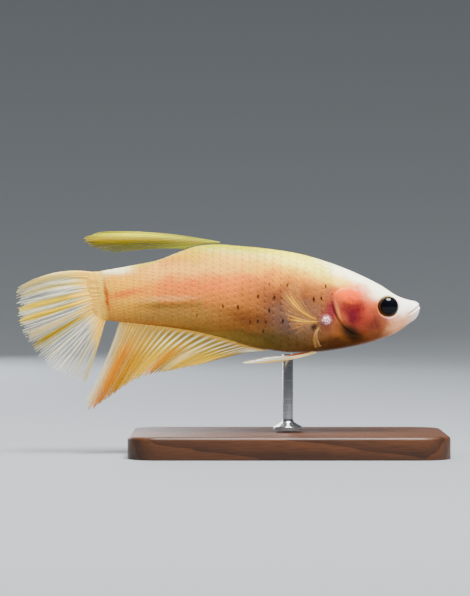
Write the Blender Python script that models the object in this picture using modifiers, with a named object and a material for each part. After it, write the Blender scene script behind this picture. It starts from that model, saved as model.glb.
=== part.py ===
"""Halfmoon betta, a still life-size model held on a small display stand.

The nose points along +X, the back along +Z, and the fish's right side faces -Y.
Fish places are (station, side, height) in millimetres: the station runs from the end of the
tail stem (0) to the snout, and the height is measured from the body axis.
"""

import math

import bmesh
import bpy
import numpy as np
from mathutils import Matrix, Vector

MM = 0.001
GAP = 0.3

# Where the fish hangs over the stand
BODY_LENGTH = 42.0
AXIS_HEIGHT = 20.0
ROD_STATION = 24.5

# Outline seen from the side, and the half width seen from above, as (station, size) pairs
BACK_LINE = (
    (0.0, 4.3), (4.8, 5.25), (7.4, 5.85), (10.1, 6.9), (12.6, 7.7), (14.8, 7.9),
    (18.0, 7.7), (22.0, 7.3), (26.0, 6.65), (30.0, 5.5), (34.0, 3.9), (36.7, 2.55),
    (39.3, 0.95), (40.7, 0.5), (42.0, 0.3),
)
BELLY_LINE = (
    (0.0, -2.2), (4.8, -2.65), (8.8, -3.1), (12.8, -3.75), (16.7, -4.75), (19.4, -5.6),
    (22.0, -6.1), (26.0, -6.45), (28.7, -6.35), (32.7, -5.75), (36.7, -4.7),
    (39.3, -3.55), (41.0, -2.3), (42.0, -1.7),
)
HALF_WIDTH = (
    (0.0, 0.55), (2.0, 0.95), (5.0, 1.4), (10.0, 1.95), (15.0, 2.55), (20.0, 3.0),
    (25.0, 3.3), (31.0, 3.4), (35.0, 3.05), (37.8, 2.55), (39.6, 2.0), (41.0, 1.5), (42.0, 1.2),
)
# How sharp the back and the belly are: 1 is an ellipse, less is flatter, more is keeled
BACK_SHARPNESS = ((0.0, 1.1), (20.0, 1.15), (30.0, 1.05), (36.0, 0.85), (42.0, 0.9))
BELLY_SHARPNESS = ((0.0, 1.1), (20.0, 1.05), (30.0, 0.95), (36.0, 1.0), (42.0, 1.0))
WIDEST_LEVEL = 0.47
SNOUT_ROUND_FROM, SNOUT_BLUNTNESS = 41.0, 3.0
SNOUT_HEIGHT = -0.55
TAIL_END_SLANT = 0.2
TAIL_SLANT_REACH = 6.0
STEM_STATION = 6.5

# The head parts from the trunk along an arc behind the gill openings
HEAD_ARC_STATION, HEAD_ARC_HEIGHT, HEAD_ARC_RADIUS = 39.3, -0.66, 9.6

# Eyes, mouth, nostrils and gill covers
EYE_STATION, EYE_SIDE, EYE_HEIGHT = 37.75, 1.8, -0.33
EYE_RADIUS, EYE_BULGE = 1.36, 0.95
EYE_RIM_RADIUS, EYE_RIM_SIDE = 0.2, 2.13
EYE_TURN = math.radians(20)
EYE_TILT = math.radians(15)
MOUTH_TIP_HEIGHT = -0.2
MOUTH_CORNER_STATION, MOUTH_CORNER_HEIGHT = 40.5, -1.35
JAW_HINGE_STATION, JAW_HINGE_HEIGHT = 39.2, -4.6
MOUTH_SLIT = 0.24
LIP_RADIUS, LIP_OFFSET = 0.17, 0.27
NOSTRIL_STATION, NOSTRIL_SIDE, NOSTRIL_RADIUS, NOSTRIL_DEPTH = 39.75, 0.85, 0.17, 0.4
GILL_STATION, GILL_HEIGHT = 33.0, -0.9
GILL_HALF_LENGTH, GILL_HALF_HEIGHT, GILL_HALF_DEPTH = 2.4, 3.05, 0.33
GILL_LEAN, GILL_TAPER, GILL_FRONT, GILL_SINK = -0.22, 0.2, 0.8, 0.02

# Fins: half thicknesses of the ridged rays and of the web between them
RAY_HALF_AT_ROOT, RAY_HALF_AT_TIP = 0.4, 0.25
WEB_HALF, MARGIN_HALF = 0.25, 0.16
FORK_START, FORK_END = 0.3, 0.45
FORK_SPREAD_AT_ROOT, FORK_SPREAD_AT_TIP = 0.1, 0.25
MARGIN_NOTCH = 0.045

# Caudal fin: the ray tips lie on a circle near the end of the tail stem. The rays' roots
# crowd together down the stem's end, by this power of their share of the way round
CAUDAL_RAYS, CAUDAL_ROWS, CAUDAL_RADIUS = 13, 11, 11.85
CAUDAL_CENTRE = (0.15, 0.95)
CAUDAL_TOP_ANGLE, CAUDAL_BOTTOM_ANGLE = math.radians(175), math.radians(257)
CAUDAL_ROOT_TOP, CAUDAL_ROOT_BOTTOM, CAUDAL_CROWDING = 3.95, -1.95, 0.55
CAUDAL_BOW = ((0.0, 1.2), (0.08, 0.55), (0.17, 0.1), (0.6, 0.0), (1.0, -0.15))
CAUDAL_PLEAT, CAUDAL_PLEATS, CAUDAL_SWAY = 0.75, 2.2, 0.5

# Anal fin: ray tips as (share along the margin from the rear, station, height), and the
# share of the base at which each of them roots
ANAL_RAYS, ANAL_ROWS, ANAL_REAR, ANAL_FRONT = 24, 9, 1.45, 21.0
ANAL_TIPS = (
    (0.0, -2.35, -12.9), (0.07, -1.9, -14.15), (0.18, 0.0, -13.0), (0.3, 1.9, -11.6),
    (0.42, 4.1, -10.15), (0.52, 6.2, -9.3), (0.63, 7.4, -9.2), (0.75, 10.1, -8.6),
    (0.87, 12.9, -7.95), (1.0, 16.7, -6.95),
)
ANAL_ROOTS = (
    (0.0, 0.0), (0.13, 0.15), (0.25, 0.27), (0.52, 0.585), (0.6, 0.70), (0.8, 0.91), (1.0, 1.0),
)
ANAL_BOW = ((0.0, -0.35), (0.4, 0.3), (1.0, 0.15))
ANAL_PLEAT, ANAL_PLEATS, ANAL_SWAY = 0.55, 2.6, 0.5

# Dorsal fin, folded back over the tail: ray tips as (share along the base from the front, ...)
DORSAL_RAYS, DORSAL_ROWS, DORSAL_FRONT, DORSAL_REAR = 9, 11, 15.0, 10.4
DORSAL_TIPS = (
    (0.0, -0.4, 9.6), (0.25, -2.3, 9.0), (0.5, -2.6, 8.3), (0.75, -1.5, 7.5), (1.0, 1.1, 6.8),
)
DORSAL_BOW = ((0.0, 0.5), (0.5, 0.3), (1.0, 0.25))
DORSAL_PLEAT = 0.45

# Pectoral fins: fans that swing back and out from behind the gill covers
PECTORAL_RAYS, PECTORAL_ROWS = 11, 7
PECTORAL_STATION, PECTORAL_HEIGHT, PECTORAL_ROOT = 28.55, -2.45, 1.5
PECTORAL_SWING = math.radians(38)
PECTORAL_LEAN = math.radians(12)
PECTORAL_TOP_ANGLE, PECTORAL_BOTTOM_ANGLE = math.radians(71), math.radians(-82)
PECTORAL_LENGTHS = ((0.0, 5.3), (0.2, 6.6), (0.45, 5.4), (0.75, 3.7), (1.0, 2.5))
PECTORAL_CUP = 0.8

# Ventral fins: a narrow blade on each side of the breast, tips as (share, station, height)
VENTRAL_RAYS, VENTRAL_ROWS = 4, 9
VENTRAL_FRONT, VENTRAL_REAR, VENTRAL_SIDE = 27.7, 26.9, 1.05
VENTRAL_TIPS = ((0.0, 18.3, -7.75), (0.35, 19.3, -7.55), (0.7, 20.4, -7.35), (1.0, 21.6, -7.1))
VENTRAL_BOW = ((0.0, -0.5), (1.0, -0.05))
VENTRAL_SPLAY = 1.5

# Stand
BASE_LENGTH, BASE_DEPTH, BASE_THICKNESS = 42.0, 24.0, 3.0
BASE_CORNER, BASE_EDGE = 4.0, 0.5
ROD_RADIUS, FLANGE_RADIUS, FLANGE_HEIGHT = 0.7, 1.9, 0.8

# Mesh fineness
RING_POINTS = 28
HEAD_STEP, TRUNK_STEP = 0.75, 1.6
ARC_SEGMENTS = 96

# Finishes: base colour, roughness, metallic
SKIN = ((0.86, 0.56, 0.38), 0.35, 0.0)
GOLDEN_FIN = ((0.9, 0.72, 0.36), 0.4, 0.0)
CLEAR_FIN = ((0.85, 0.8, 0.66), 0.4, 0.0)
BLACK_EYE = ((0.01, 0.01, 0.012), 0.08, 0.0)
WOOD = ((0.45, 0.29, 0.16), 0.45, 0.0)
STEEL = ((0.6, 0.6, 0.6), 0.25, 1.0)


def clear_scene():
    for thing in list(bpy.data.objects):
        bpy.data.objects.remove(thing, do_unlink=True)


def new_collection(name):
    group = bpy.data.collections.new(name)
    bpy.context.scene.collection.children.link(group)
    return group


def give_material(thing, finish):
    """The sub-part's own Principled material."""
    colour, roughness, metallic = finish
    material = bpy.data.materials.new(thing.name)
    material.use_nodes = True
    shader = material.node_tree.nodes["Principled BSDF"]
    shader.inputs["Base Color"].default_value = (*colour, 1.0)
    shader.inputs["Roughness"].default_value = roughness
    shader.inputs["Metallic"].default_value = metallic
    thing.data.materials.clear()
    thing.data.materials.append(material)


def fish_object(name, data):
    """An object that hangs from the fish's own empty, so its mesh holds fish places in metres."""
    thing = bpy.data.objects.new(name, data)
    PARTS.objects.link(thing)
    thing.parent = FISH
    return thing


def object_from(shape, name, flat_triangles=True):
    """An object from a bmesh in fish millimetres, its faces turned out and made triangles."""
    bmesh.ops.transform(shape, matrix=Matrix.Scale(MM, 4), verts=shape.verts)
    bmesh.ops.recalc_face_normals(shape, faces=shape.faces)
    if flat_triangles:
        bmesh.ops.triangulate(shape, faces=shape.faces)
    mesh = bpy.data.meshes.new(name)
    shape.to_mesh(mesh)
    shape.free()
    return fish_object(name, mesh)


def mesh_from_curve(name, data, matrix=Matrix.Identity(4)):
    """A curve in fish millimetres made a closed mesh, with its caps welded to its sides."""
    guide = bpy.data.objects.new(name + "_curve", data)
    bpy.context.scene.collection.objects.link(guide)
    bpy.context.view_layer.update()
    mesh = bpy.data.meshes.new_from_object(guide.evaluated_get(bpy.context.evaluated_depsgraph_get()))
    bpy.data.objects.remove(guide, do_unlink=True)
    bpy.data.curves.remove(data)
    shape = bmesh.new()
    shape.from_mesh(mesh)
    bpy.data.meshes.remove(mesh)
    bmesh.ops.transform(shape, matrix=matrix, verts=shape.verts)
    bmesh.ops.remove_doubles(shape, verts=shape.verts, dist=0.001)
    return object_from(shape, name)


def bar(name, path, radius):
    """A round bar along a path, with filled ends."""
    data = bpy.data.curves.new(name, "CURVE")
    data.dimensions = "3D"
    data.bevel_depth = radius
    data.bevel_resolution = 1
    data.use_fill_caps = True
    spline = data.splines.new("POLY")
    spline.points.add(len(path) - 1)
    for point, place in zip(spline.points, path):
        point.co = (*place, 1.0)
    return mesh_from_curve(name, data)


def slab(name, outline, half_depth):
    """A plate across the fish, over an outline of (station, height) points."""
    data = bpy.data.curves.new(name, "CURVE")
    data.dimensions = "2D"
    data.fill_mode = "BOTH"
    data.extrude = half_depth
    spline = data.splines.new("POLY")
    spline.points.add(len(outline) - 1)
    for point, place in zip(spline.points, outline):
        point.co = (*place, 0.0, 1.0)
    spline.use_cyclic_u = True
    return mesh_from_curve(name, data, Matrix.Rotation(math.radians(90), 4, "X"))


def drum(name, station, height, radius, half_depth):
    """A round drum across the fish."""
    shape = bmesh.new()
    upright = Matrix.Translation((station, 0, height)) @ Matrix.Rotation(math.radians(90), 4, "X")
    bmesh.ops.create_cone(
        shape, cap_ends=True, segments=ARC_SEGMENTS, radius1=radius, radius2=radius,
        depth=2 * half_depth, matrix=upright,
    )
    return object_from(shape, name)


def globe(name, segments, place):
    """A ball with its poles along Y, each point of the unit ball moved by place(x, y, z)."""
    shape = bmesh.new()
    turn = Matrix.Rotation(math.radians(90), 4, "X")
    bmesh.ops.create_uvsphere(shape, u_segments=segments, v_segments=segments // 2, radius=1, matrix=turn)
    for vertex in shape.verts:
        vertex.co = place(*vertex.co)
    return object_from(shape, name)


def boolean(thing, others, operation):
    """Joins or cuts with one applied Boolean over a collection, whose objects are then removed."""
    group = new_collection("cutters")
    for other in others:
        PARTS.objects.unlink(other)
        group.objects.link(other)
    modifier = thing.modifiers.new("shape", "BOOLEAN")
    modifier.operation = operation
    modifier.operand_type = "COLLECTION"
    modifier.collection = group
    bpy.context.view_layer.update()
    made = bpy.data.meshes.new_from_object(thing.evaluated_get(bpy.context.evaluated_depsgraph_get()))
    thing.modifiers.clear()
    thing.data = made
    for other in others:
        bpy.data.objects.remove(other, do_unlink=True)
    bpy.data.collections.remove(group)
    keep_largest(thing)


def keep_largest(thing):
    """Drops every closed surface of the mesh but the largest."""
    shape = bmesh.new()
    shape.from_mesh(thing.data)
    unseen, largest = set(shape.verts), set()
    while unseen:
        piece, edge = set(), [unseen.pop()]
        while edge:
            vertex = edge.pop()
            piece.add(vertex)
            near = {link.other_vert(vertex) for link in vertex.link_edges} & unseen
            unseen -= near
            edge.extend(near)
        largest = max(largest, piece, key=len)
    bmesh.ops.delete(shape, geom=[v for v in shape.verts if v not in largest], context="VERTS")
    shape.to_mesh(thing.data)
    shape.free()


def smooth_curve(points):
    """A function that reads a smooth line through (place, value) pairs."""
    places, values = np.array(points, float).T
    slopes = np.gradient(values, places)

    def read(place):
        place = min(max(place, places[0]), places[-1])
        i = min(max(np.searchsorted(places, place) - 1, 0), len(places) - 2)
        span = places[i + 1] - places[i]
        t = (place - places[i]) / span
        rise = t * t * (3 - 2 * t)
        start_bend = t * (1 - t) ** 2 * span * slopes[i]
        end_bend = t * t * (t - 1) * span * slopes[i + 1]
        return float(values[i] * (1 - rise) + values[i + 1] * rise + start_bend + end_bend)

    return read


back_line, belly_line = smooth_curve(BACK_LINE), smooth_curve(BELLY_LINE)
half_width = smooth_curve(HALF_WIDTH)
back_sharpness, belly_sharpness = smooth_curve(BACK_SHARPNESS), smooth_curve(BELLY_SHARPNESS)


def section(station):
    """Top, widest level, bottom and half width of the body at a station."""
    top, bottom, half = back_line(station), belly_line(station), half_width(station)
    if station > SNOUT_ROUND_FROM:
        share = (station - SNOUT_ROUND_FROM) / (BODY_LENGTH - SNOUT_ROUND_FROM)
        close = math.sqrt(max(0.0, 1 - share**SNOUT_BLUNTNESS))
        top = SNOUT_HEIGHT + (top - SNOUT_HEIGHT) * close
        bottom = SNOUT_HEIGHT + (bottom - SNOUT_HEIGHT) * close
        half *= close
    return top, bottom + (top - bottom) * WIDEST_LEVEL, bottom, half


def skin_point(station, angle):
    """The body's surface at a station, with the angle from the back over the right side."""
    top, middle, bottom, half = section(station)
    up, out = math.cos(angle), math.sin(angle)
    sharp = back_sharpness(station) if up > 0 else belly_sharpness(station)
    height = middle + up * (top - middle if up > 0 else middle - bottom)
    side = -math.copysign(half * abs(out) ** sharp, out)
    slant = TAIL_END_SLANT * max(0.0, 1 - station / TAIL_SLANT_REACH)
    return station - slant * (height - middle), side, height


def side_at(station, height):
    """How far the body's surface stands out from the mid plane at a station and height."""
    top, middle, bottom, half = section(station)
    reach = top - middle if height > middle else middle - bottom
    up = min(1.0, abs(height - middle) / reach)
    sharp = back_sharpness(station) if height > middle else belly_sharpness(station)
    return half * math.sqrt(1 - up * up) ** sharp


def belly_at(station, side):
    """The height of the body's underside at a distance to the side of the mid plane."""
    top, middle, bottom, half = section(station)
    out = min(1.0, abs(side) / half) ** (1 / belly_sharpness(station))
    return middle - math.sqrt(1 - out * out) * (middle - bottom)


def back_at(station, side):
    """The height of the body's upper side at a distance to the side of the mid plane."""
    top, middle, bottom, half = section(station)
    out = min(1.0, abs(side) / half) ** (1 / back_sharpness(station))
    return middle + math.sqrt(1 - out * out) * (top - middle)


def body_length(name, stations):
    """A length of the body, lofted through its sections at the given stations."""
    shape = bmesh.new()
    rings = []
    for station in stations:
        turns = [2 * math.pi * i / RING_POINTS for i in range(RING_POINTS)]
        rings.append([shape.verts.new(skin_point(station, turn)) for turn in turns])
    for ring, ahead in zip(rings, rings[1:]):
        for i in range(RING_POINTS):
            j = (i + 1) % RING_POINTS
            shape.faces.new((ring[i], ring[j], ahead[j], ahead[i]))
    for ring in (rings[0], rings[-1]):
        middle = shape.verts.new(sum((v.co for v in ring), Vector()) / RING_POINTS)
        for i in range(RING_POINTS):
            shape.faces.new((ring[i], ring[(i + 1) % RING_POINTS], middle))
    return object_from(shape, name)


def evenly(start, end, step):
    return list(np.linspace(start, end, max(2, round(abs(end - start) / step) + 1)))


def snout_stations():
    """Stations that crowd together as the snout rounds off."""
    turns = np.linspace(0, math.pi / 2, 7)[1:]
    reach = BODY_LENGTH - SNOUT_ROUND_FROM
    return [SNOUT_ROUND_FROM + reach * 0.997 * math.sin(turn) for turn in turns]


def head_and_trunk():
    """The body ahead of the tail stem, parted behind the gill openings."""
    rear = STEM_STATION + GAP / 2
    arc_rear = HEAD_ARC_STATION - HEAD_ARC_RADIUS
    stations = evenly(rear, arc_rear, TRUNK_STEP)
    stations += evenly(arc_rear, SNOUT_ROUND_FROM, HEAD_STEP)[1:] + snout_stations()
    trunk = body_length("trunk", stations)
    head = fish_object("head", trunk.data.copy())
    place = (HEAD_ARC_STATION, HEAD_ARC_HEIGHT)
    boolean(head, [drum("head_drum", *place, HEAD_ARC_RADIUS - GAP / 2, BODY_LENGTH)], "INTERSECT")
    boolean(trunk, [drum("head_drum", *place, HEAD_ARC_RADIUS + GAP / 2, BODY_LENGTH)], "DIFFERENCE")
    give_material(head, SKIN)
    give_material(trunk, SKIN)
    return head


MOUTH_SLOPE = (MOUTH_TIP_HEIGHT - MOUTH_CORNER_HEIGHT) / (BODY_LENGTH - MOUTH_CORNER_STATION)


def mouth_height(station):
    return MOUTH_CORNER_HEIGHT + MOUTH_SLOPE * (station - MOUTH_CORNER_STATION)


def jaw_wedge(grow):
    """The space of the lower jaw: under the mouth line and ahead of the hinge, grown by a margin."""
    ahead = BODY_LENGTH + 2.0
    outline = [
        (ahead, mouth_height(ahead) + grow),
        (MOUTH_CORNER_STATION - grow, MOUTH_CORNER_HEIGHT + grow),
        (JAW_HINGE_STATION - grow, JAW_HINGE_HEIGHT),
        (ahead, JAW_HINGE_HEIGHT),
    ]
    return slab("jaw_wedge", outline, BODY_LENGTH)


def lip(offset):
    """A bar round the snout along the mouth line, set above it or below it."""
    def inside(station):
        top, _, bottom, _ = section(station)
        return bottom < mouth_height(station) + offset < top

    front = max(filter(inside, np.linspace(SNOUT_ROUND_FROM, BODY_LENGTH, 80)))
    reach = front - LIP_RADIUS * 0.6 - MOUTH_CORNER_STATION
    path = []
    for turn in np.linspace(-math.pi / 2, math.pi / 2, 13):
        station = MOUTH_CORNER_STATION + reach * math.cos(turn)
        height = mouth_height(station) + offset
        side = max(0.0, side_at(station, height) - LIP_RADIUS * 0.4)
        path.append((station, math.copysign(side, turn) if abs(turn) > 0.01 else 0.0, height))
    return bar("lip", path, LIP_RADIUS)


def jaw_parted_from(head):
    """The lower jaw, parted from the head along the mouth line, each with its lip."""
    jaw = fish_object("lower_jaw", head.data.copy())
    boolean(jaw, [jaw_wedge(-MOUTH_SLIT / 2)], "INTERSECT")
    boolean(head, [jaw_wedge(MOUTH_SLIT / 2)], "DIFFERENCE")
    boolean(head, [lip(LIP_OFFSET)], "UNION")
    boolean(jaw, [lip(-LIP_OFFSET)], "UNION")
    give_material(jaw, SKIN)


def eye_ball(name, side, grow):
    """One eye, or the socket round it when grown by a margin."""
    radius, bulge = EYE_RADIUS + grow, EYE_BULGE + grow

    def place(x, y, z):
        return EYE_STATION + x * radius, side * EYE_SIDE + y * bulge, EYE_HEIGHT + z * radius

    return globe(name, 20, place)


def eye_rim(side):
    """The raised ring of skin round an eye, tipped to lie along the side of the head."""
    bpy.ops.mesh.primitive_torus_add(
        major_radius=EYE_RADIUS + GAP, minor_radius=EYE_RIM_RADIUS, major_segments=22, minor_segments=8,
    )
    ring = bpy.context.object
    shape = bmesh.new()
    shape.from_mesh(ring.data)
    bpy.data.objects.remove(ring, do_unlink=True)
    face_side = Matrix.Rotation(math.radians(90) + side * EYE_TILT, 4, "X")
    lie_back = Matrix.Rotation(-side * EYE_TURN, 4, "Z")
    move = Matrix.Translation((EYE_STATION, side * EYE_RIM_SIDE, EYE_HEIGHT))
    bmesh.ops.transform(shape, matrix=move @ lie_back @ face_side, verts=shape.verts)
    return object_from(shape, "eye_rim")


def nostril(side):
    """A small pit sunk into the snout from above."""
    floor = back_at(NOSTRIL_STATION, NOSTRIL_SIDE) - NOSTRIL_DEPTH
    shape = bmesh.new()
    tip_out = Matrix.Rotation(-side * math.radians(35), 4, "X")
    bmesh.ops.create_cone(
        shape, cap_ends=True, segments=10, radius1=NOSTRIL_RADIUS * 0.6, radius2=NOSTRIL_RADIUS * 2.2,
        depth=4 * NOSTRIL_DEPTH,
        matrix=Matrix.Translation((NOSTRIL_STATION, side * NOSTRIL_SIDE, floor)) @ tip_out
        @ Matrix.Translation((0, 0, 2 * NOSTRIL_DEPTH)),
    )
    return object_from(shape, "nostril")


def gill_plate(name, side, grow):
    """A domed oval plate draped over the side of the head, or its hollow when grown by a margin."""
    def place(x, y, z):
        height = GILL_HEIGHT + z * (GILL_HALF_HEIGHT + grow)
        length = GILL_HALF_LENGTH * (1 + GILL_TAPER * z) * (GILL_FRONT if x > 0 else 1.0)
        station = GILL_STATION + x * (length + grow) + GILL_LEAN * (height - GILL_HEIGHT)
        out = side_at(station, height) - GILL_SINK
        return station, side * out + y * (GILL_HALF_DEPTH + grow), height

    return globe(name, 24, place)


def eyes_and_gill_covers(head):
    """Both eyes in their sockets, the nostrils, and both gill covers in their hollows."""
    boolean(head, [eye_rim(side) for side in (-1, 1)], "UNION")
    hollows = []
    for side in (-1, 1):
        hollows += [eye_ball("socket", side, GAP), nostril(side), gill_plate("hollow", side, GAP)]
    boolean(head, hollows, "DIFFERENCE")
    for side, word in ((-1, "right"), (1, "left")):
        give_material(eye_ball("eye_" + word, side, 0.0), BLACK_EYE)
        give_material(gill_plate("gill_cover_" + word, side, 0.0), SKIN)


def tail_stem():
    """The tapering root of the tail."""
    give_material(body_length("tail_stem", evenly(0.0, STEM_STATION - GAP / 2, TRUNK_STEP)), SKIN)


def ray_columns(rays, forked):
    """(share of the base, side of the fork, kind) of each line of points that runs down a fin."""
    pitch = 1.0 / (rays - 0.4)
    columns = [(0.0, 0, "web")]
    for ray in range(rays):
        centre = (ray + 0.3) * pitch
        if forked:
            columns += [(centre, -pitch, "ray"), (centre, 0.0, "fork"), (centre, pitch, "ray")]
        else:
            columns.append((centre, 0.0, "ray"))
        if ray < rays - 1:
            columns.append((centre + 0.5 * pitch, 0.0, "web"))
    columns.append((1.0, 0.0, "web"))
    return columns


def half_thickness(kind, v):
    """Half the thickness of a ray, a fork or the web at share v of the way out to the margin."""
    web = WEB_HALF + (MARGIN_HALF - WEB_HALF) * v**3
    ray = RAY_HALF_AT_ROOT + (RAY_HALF_AT_TIP - RAY_HALF_AT_ROOT) * v
    fork = min(1.0, max(0.0, (v - FORK_START) / (FORK_END - FORK_START)))
    return {"web": web, "ray": ray, "fork": ray + (web - ray) * fork}[kind]


def fin(name, place, rays, rows, finish, forked=False):
    """A sheet over place(u, v), thickened by Solidify so that its rays stand as ridges on both faces."""
    columns = ray_columns(rays, forked)
    shape = bmesh.new()
    bmesh.ops.create_grid(shape, x_segments=len(columns) - 1, y_segments=rows - 1, size=0.5)
    weights = shape.verts.layers.deform.new()
    for vertex in shape.verts:
        centre, fork_side, kind = columns[round((vertex.co.x + 0.5) * (len(columns) - 1))]
        v = min(1.0, max(0.0, vertex.co.y + 0.5))
        spread = FORK_SPREAD_AT_ROOT + (FORK_SPREAD_AT_TIP - FORK_SPREAD_AT_ROOT) * v
        reach = v if kind == "ray" else v * (1 - MARGIN_NOTCH * v)
        vertex[weights][0] = half_thickness(kind, v) / RAY_HALF_AT_ROOT
        vertex.co = place(min(1.0, max(0.0, centre + fork_side * spread)), reach)
    thing = object_from(shape, name)
    thing.vertex_groups.new(name="thickness")
    solidify = thing.modifiers.new("rays_and_web", "SOLIDIFY")
    solidify.thickness = 2 * RAY_HALF_AT_ROOT * MM
    solidify.offset = 0.0
    solidify.vertex_group = "thickness"
    give_material(thing, finish)


def on_bowed_chord(root, tip, bow, v):
    """A point at share v of a ray from root to tip that bows to one side of its chord."""
    root, tip = Vector(root), Vector(tip)
    ahead = (tip - root).normalized()
    return root.lerp(tip, v) + Vector((ahead.z, 0.0, -ahead.x)) * (4 * v * (1 - v) * bow)


def wave(turns, shift, u):
    return math.sin(2 * math.pi * (turns * u + shift))


def caudal_fin():
    """The fan of the tail, its forked rays pleated a little to each side."""
    bow = smooth_curve(CAUDAL_BOW)
    end_middle = section(0.0)[1]

    def place(u, v):
        height = CAUDAL_ROOT_TOP + (CAUDAL_ROOT_BOTTOM - CAUDAL_ROOT_TOP) * u**CAUDAL_CROWDING
        root = (-TAIL_END_SLANT * (height - end_middle) - GAP, 0.0, height)
        angle = CAUDAL_TOP_ANGLE + (CAUDAL_BOTTOM_ANGLE - CAUDAL_TOP_ANGLE) * u
        station = CAUDAL_CENTRE[0] + CAUDAL_RADIUS * math.cos(angle)
        point = on_bowed_chord(
            root, (station, 0.0, CAUDAL_CENTRE[1] + CAUDAL_RADIUS * math.sin(angle)), bow(u), v
        )
        point.y = CAUDAL_PLEAT * v**1.5 * wave(CAUDAL_PLEATS, 0.1, u) + CAUDAL_SWAY * v * v
        return point

    fin("caudal_fin", place, CAUDAL_RAYS, CAUDAL_ROWS, GOLDEN_FIN, forked=True)


def anal_fin():
    """The long fin under the body, its rays leaning back towards the tail."""
    bow = smooth_curve(ANAL_BOW)
    tip_station = smooth_curve([(u, x) for u, x, z in ANAL_TIPS])
    tip_height = smooth_curve([(u, z) for u, x, z in ANAL_TIPS])
    rooted = smooth_curve(ANAL_ROOTS)

    def place(u, v):
        x, _, z = skin_point(ANAL_REAR + (ANAL_FRONT - ANAL_REAR) * rooted(u), math.pi)
        point = on_bowed_chord((x, 0.0, z - GAP), (tip_station(u), 0.0, tip_height(u)), bow(u), v)
        point.y = -ANAL_PLEAT * v**1.5 * wave(ANAL_PLEATS, 0.05, u) - ANAL_SWAY * v * v
        return point

    fin("anal_fin", place, ANAL_RAYS, ANAL_ROWS, GOLDEN_FIN)


def dorsal_fin():
    """The fin of the back, folded down towards the tail."""
    bow = smooth_curve(DORSAL_BOW)
    tip_station = smooth_curve([(u, x) for u, x, z in DORSAL_TIPS])
    tip_height = smooth_curve([(u, z) for u, x, z in DORSAL_TIPS])

    def place(u, v):
        x, _, z = skin_point(DORSAL_FRONT + (DORSAL_REAR - DORSAL_FRONT) * u, 0.0)
        point = on_bowed_chord((x, 0.0, z + GAP), (tip_station(u), 0.0, tip_height(u)), bow(u), v)
        point.y = DORSAL_PLEAT * v**1.3 * wave(1.1, 0.2, u)
        return point

    fin("dorsal_fin", place, DORSAL_RAYS, DORSAL_ROWS, GOLDEN_FIN)


def pectoral_fins():
    """The two side fins, each a fan whose rays spread from a short root."""
    length = smooth_curve(PECTORAL_LENGTHS)
    rise = Vector((-math.sin(PECTORAL_LEAN), 0.0, math.cos(PECTORAL_LEAN)))
    for side, word in ((-1, "right"), (1, "left")):
        back = Vector((-math.cos(PECTORAL_SWING), side * math.sin(PECTORAL_SWING), 0.0))

        def place(u, v, side=side, back=back):
            along = rise * (PECTORAL_ROOT * (0.5 - u))
            station, height = PECTORAL_STATION + along.x, PECTORAL_HEIGHT + along.z
            root = Vector((station, side * (side_at(station, height) + GAP), height))
            angle = PECTORAL_TOP_ANGLE + (PECTORAL_BOTTOM_ANGLE - PECTORAL_TOP_ANGLE) * u
            fan = angle * (0.25 + 0.75 * v)
            lie = back * math.cos(fan) + rise * math.sin(fan)
            cup = Vector((0.0, side * PECTORAL_CUP * v * (1 - v) * 2, 0.0))
            return root + lie * (length(u) * v) + cup

        fin("pectoral_fin_" + word, place, PECTORAL_RAYS, PECTORAL_ROWS, CLEAR_FIN)


def ventral_fins():
    """The two narrow fins of the breast, trailing under the belly."""
    bow = smooth_curve(VENTRAL_BOW)
    tip_station = smooth_curve([(u, x) for u, x, z in VENTRAL_TIPS])
    tip_height = smooth_curve([(u, z) for u, x, z in VENTRAL_TIPS])
    for side, word in ((-1, "right"), (1, "left")):

        def place(u, v, side=side):
            station = VENTRAL_FRONT + (VENTRAL_REAR - VENTRAL_FRONT) * u
            root = (station, 0.0, belly_at(station, VENTRAL_SIDE) - GAP)
            point = on_bowed_chord(root, (tip_station(u), 0.0, tip_height(u)), bow(u), v)
            point.y = side * (VENTRAL_SIDE + VENTRAL_SPLAY * (1 - (1 - v) ** 2))
            return point

        fin("ventral_fin_" + word, place, VENTRAL_RAYS, VENTRAL_ROWS, CLEAR_FIN)


def stand_base():
    """A flat board with rounded corners and eased top edges."""
    shape = bmesh.new()
    size = Matrix.Diagonal((BASE_LENGTH * MM, BASE_DEPTH * MM, BASE_THICKNESS * MM, 1.0))
    bmesh.ops.create_cube(shape, size=1.0, matrix=size)
    upright = [e for e in shape.edges if e.verts[0].co.z * e.verts[1].co.z < 0]
    bmesh.ops.bevel(shape, geom=upright, offset=BASE_CORNER * MM, segments=6, affect="EDGES", profile=0.5)
    mesh = bpy.data.meshes.new("stand_base")
    top = [e for e in shape.edges if all(v.co.z > 0 for v in e.verts)]
    bmesh.ops.bevel(shape, geom=top, offset=BASE_EDGE * MM, segments=2, affect="EDGES", profile=0.5)
    shape.to_mesh(mesh)
    shape.free()
    base = bpy.data.objects.new("stand_base", mesh)
    base.location.z = BASE_THICKNESS / 2 * MM
    PARTS.objects.link(base)
    give_material(base, WOOD)


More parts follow.
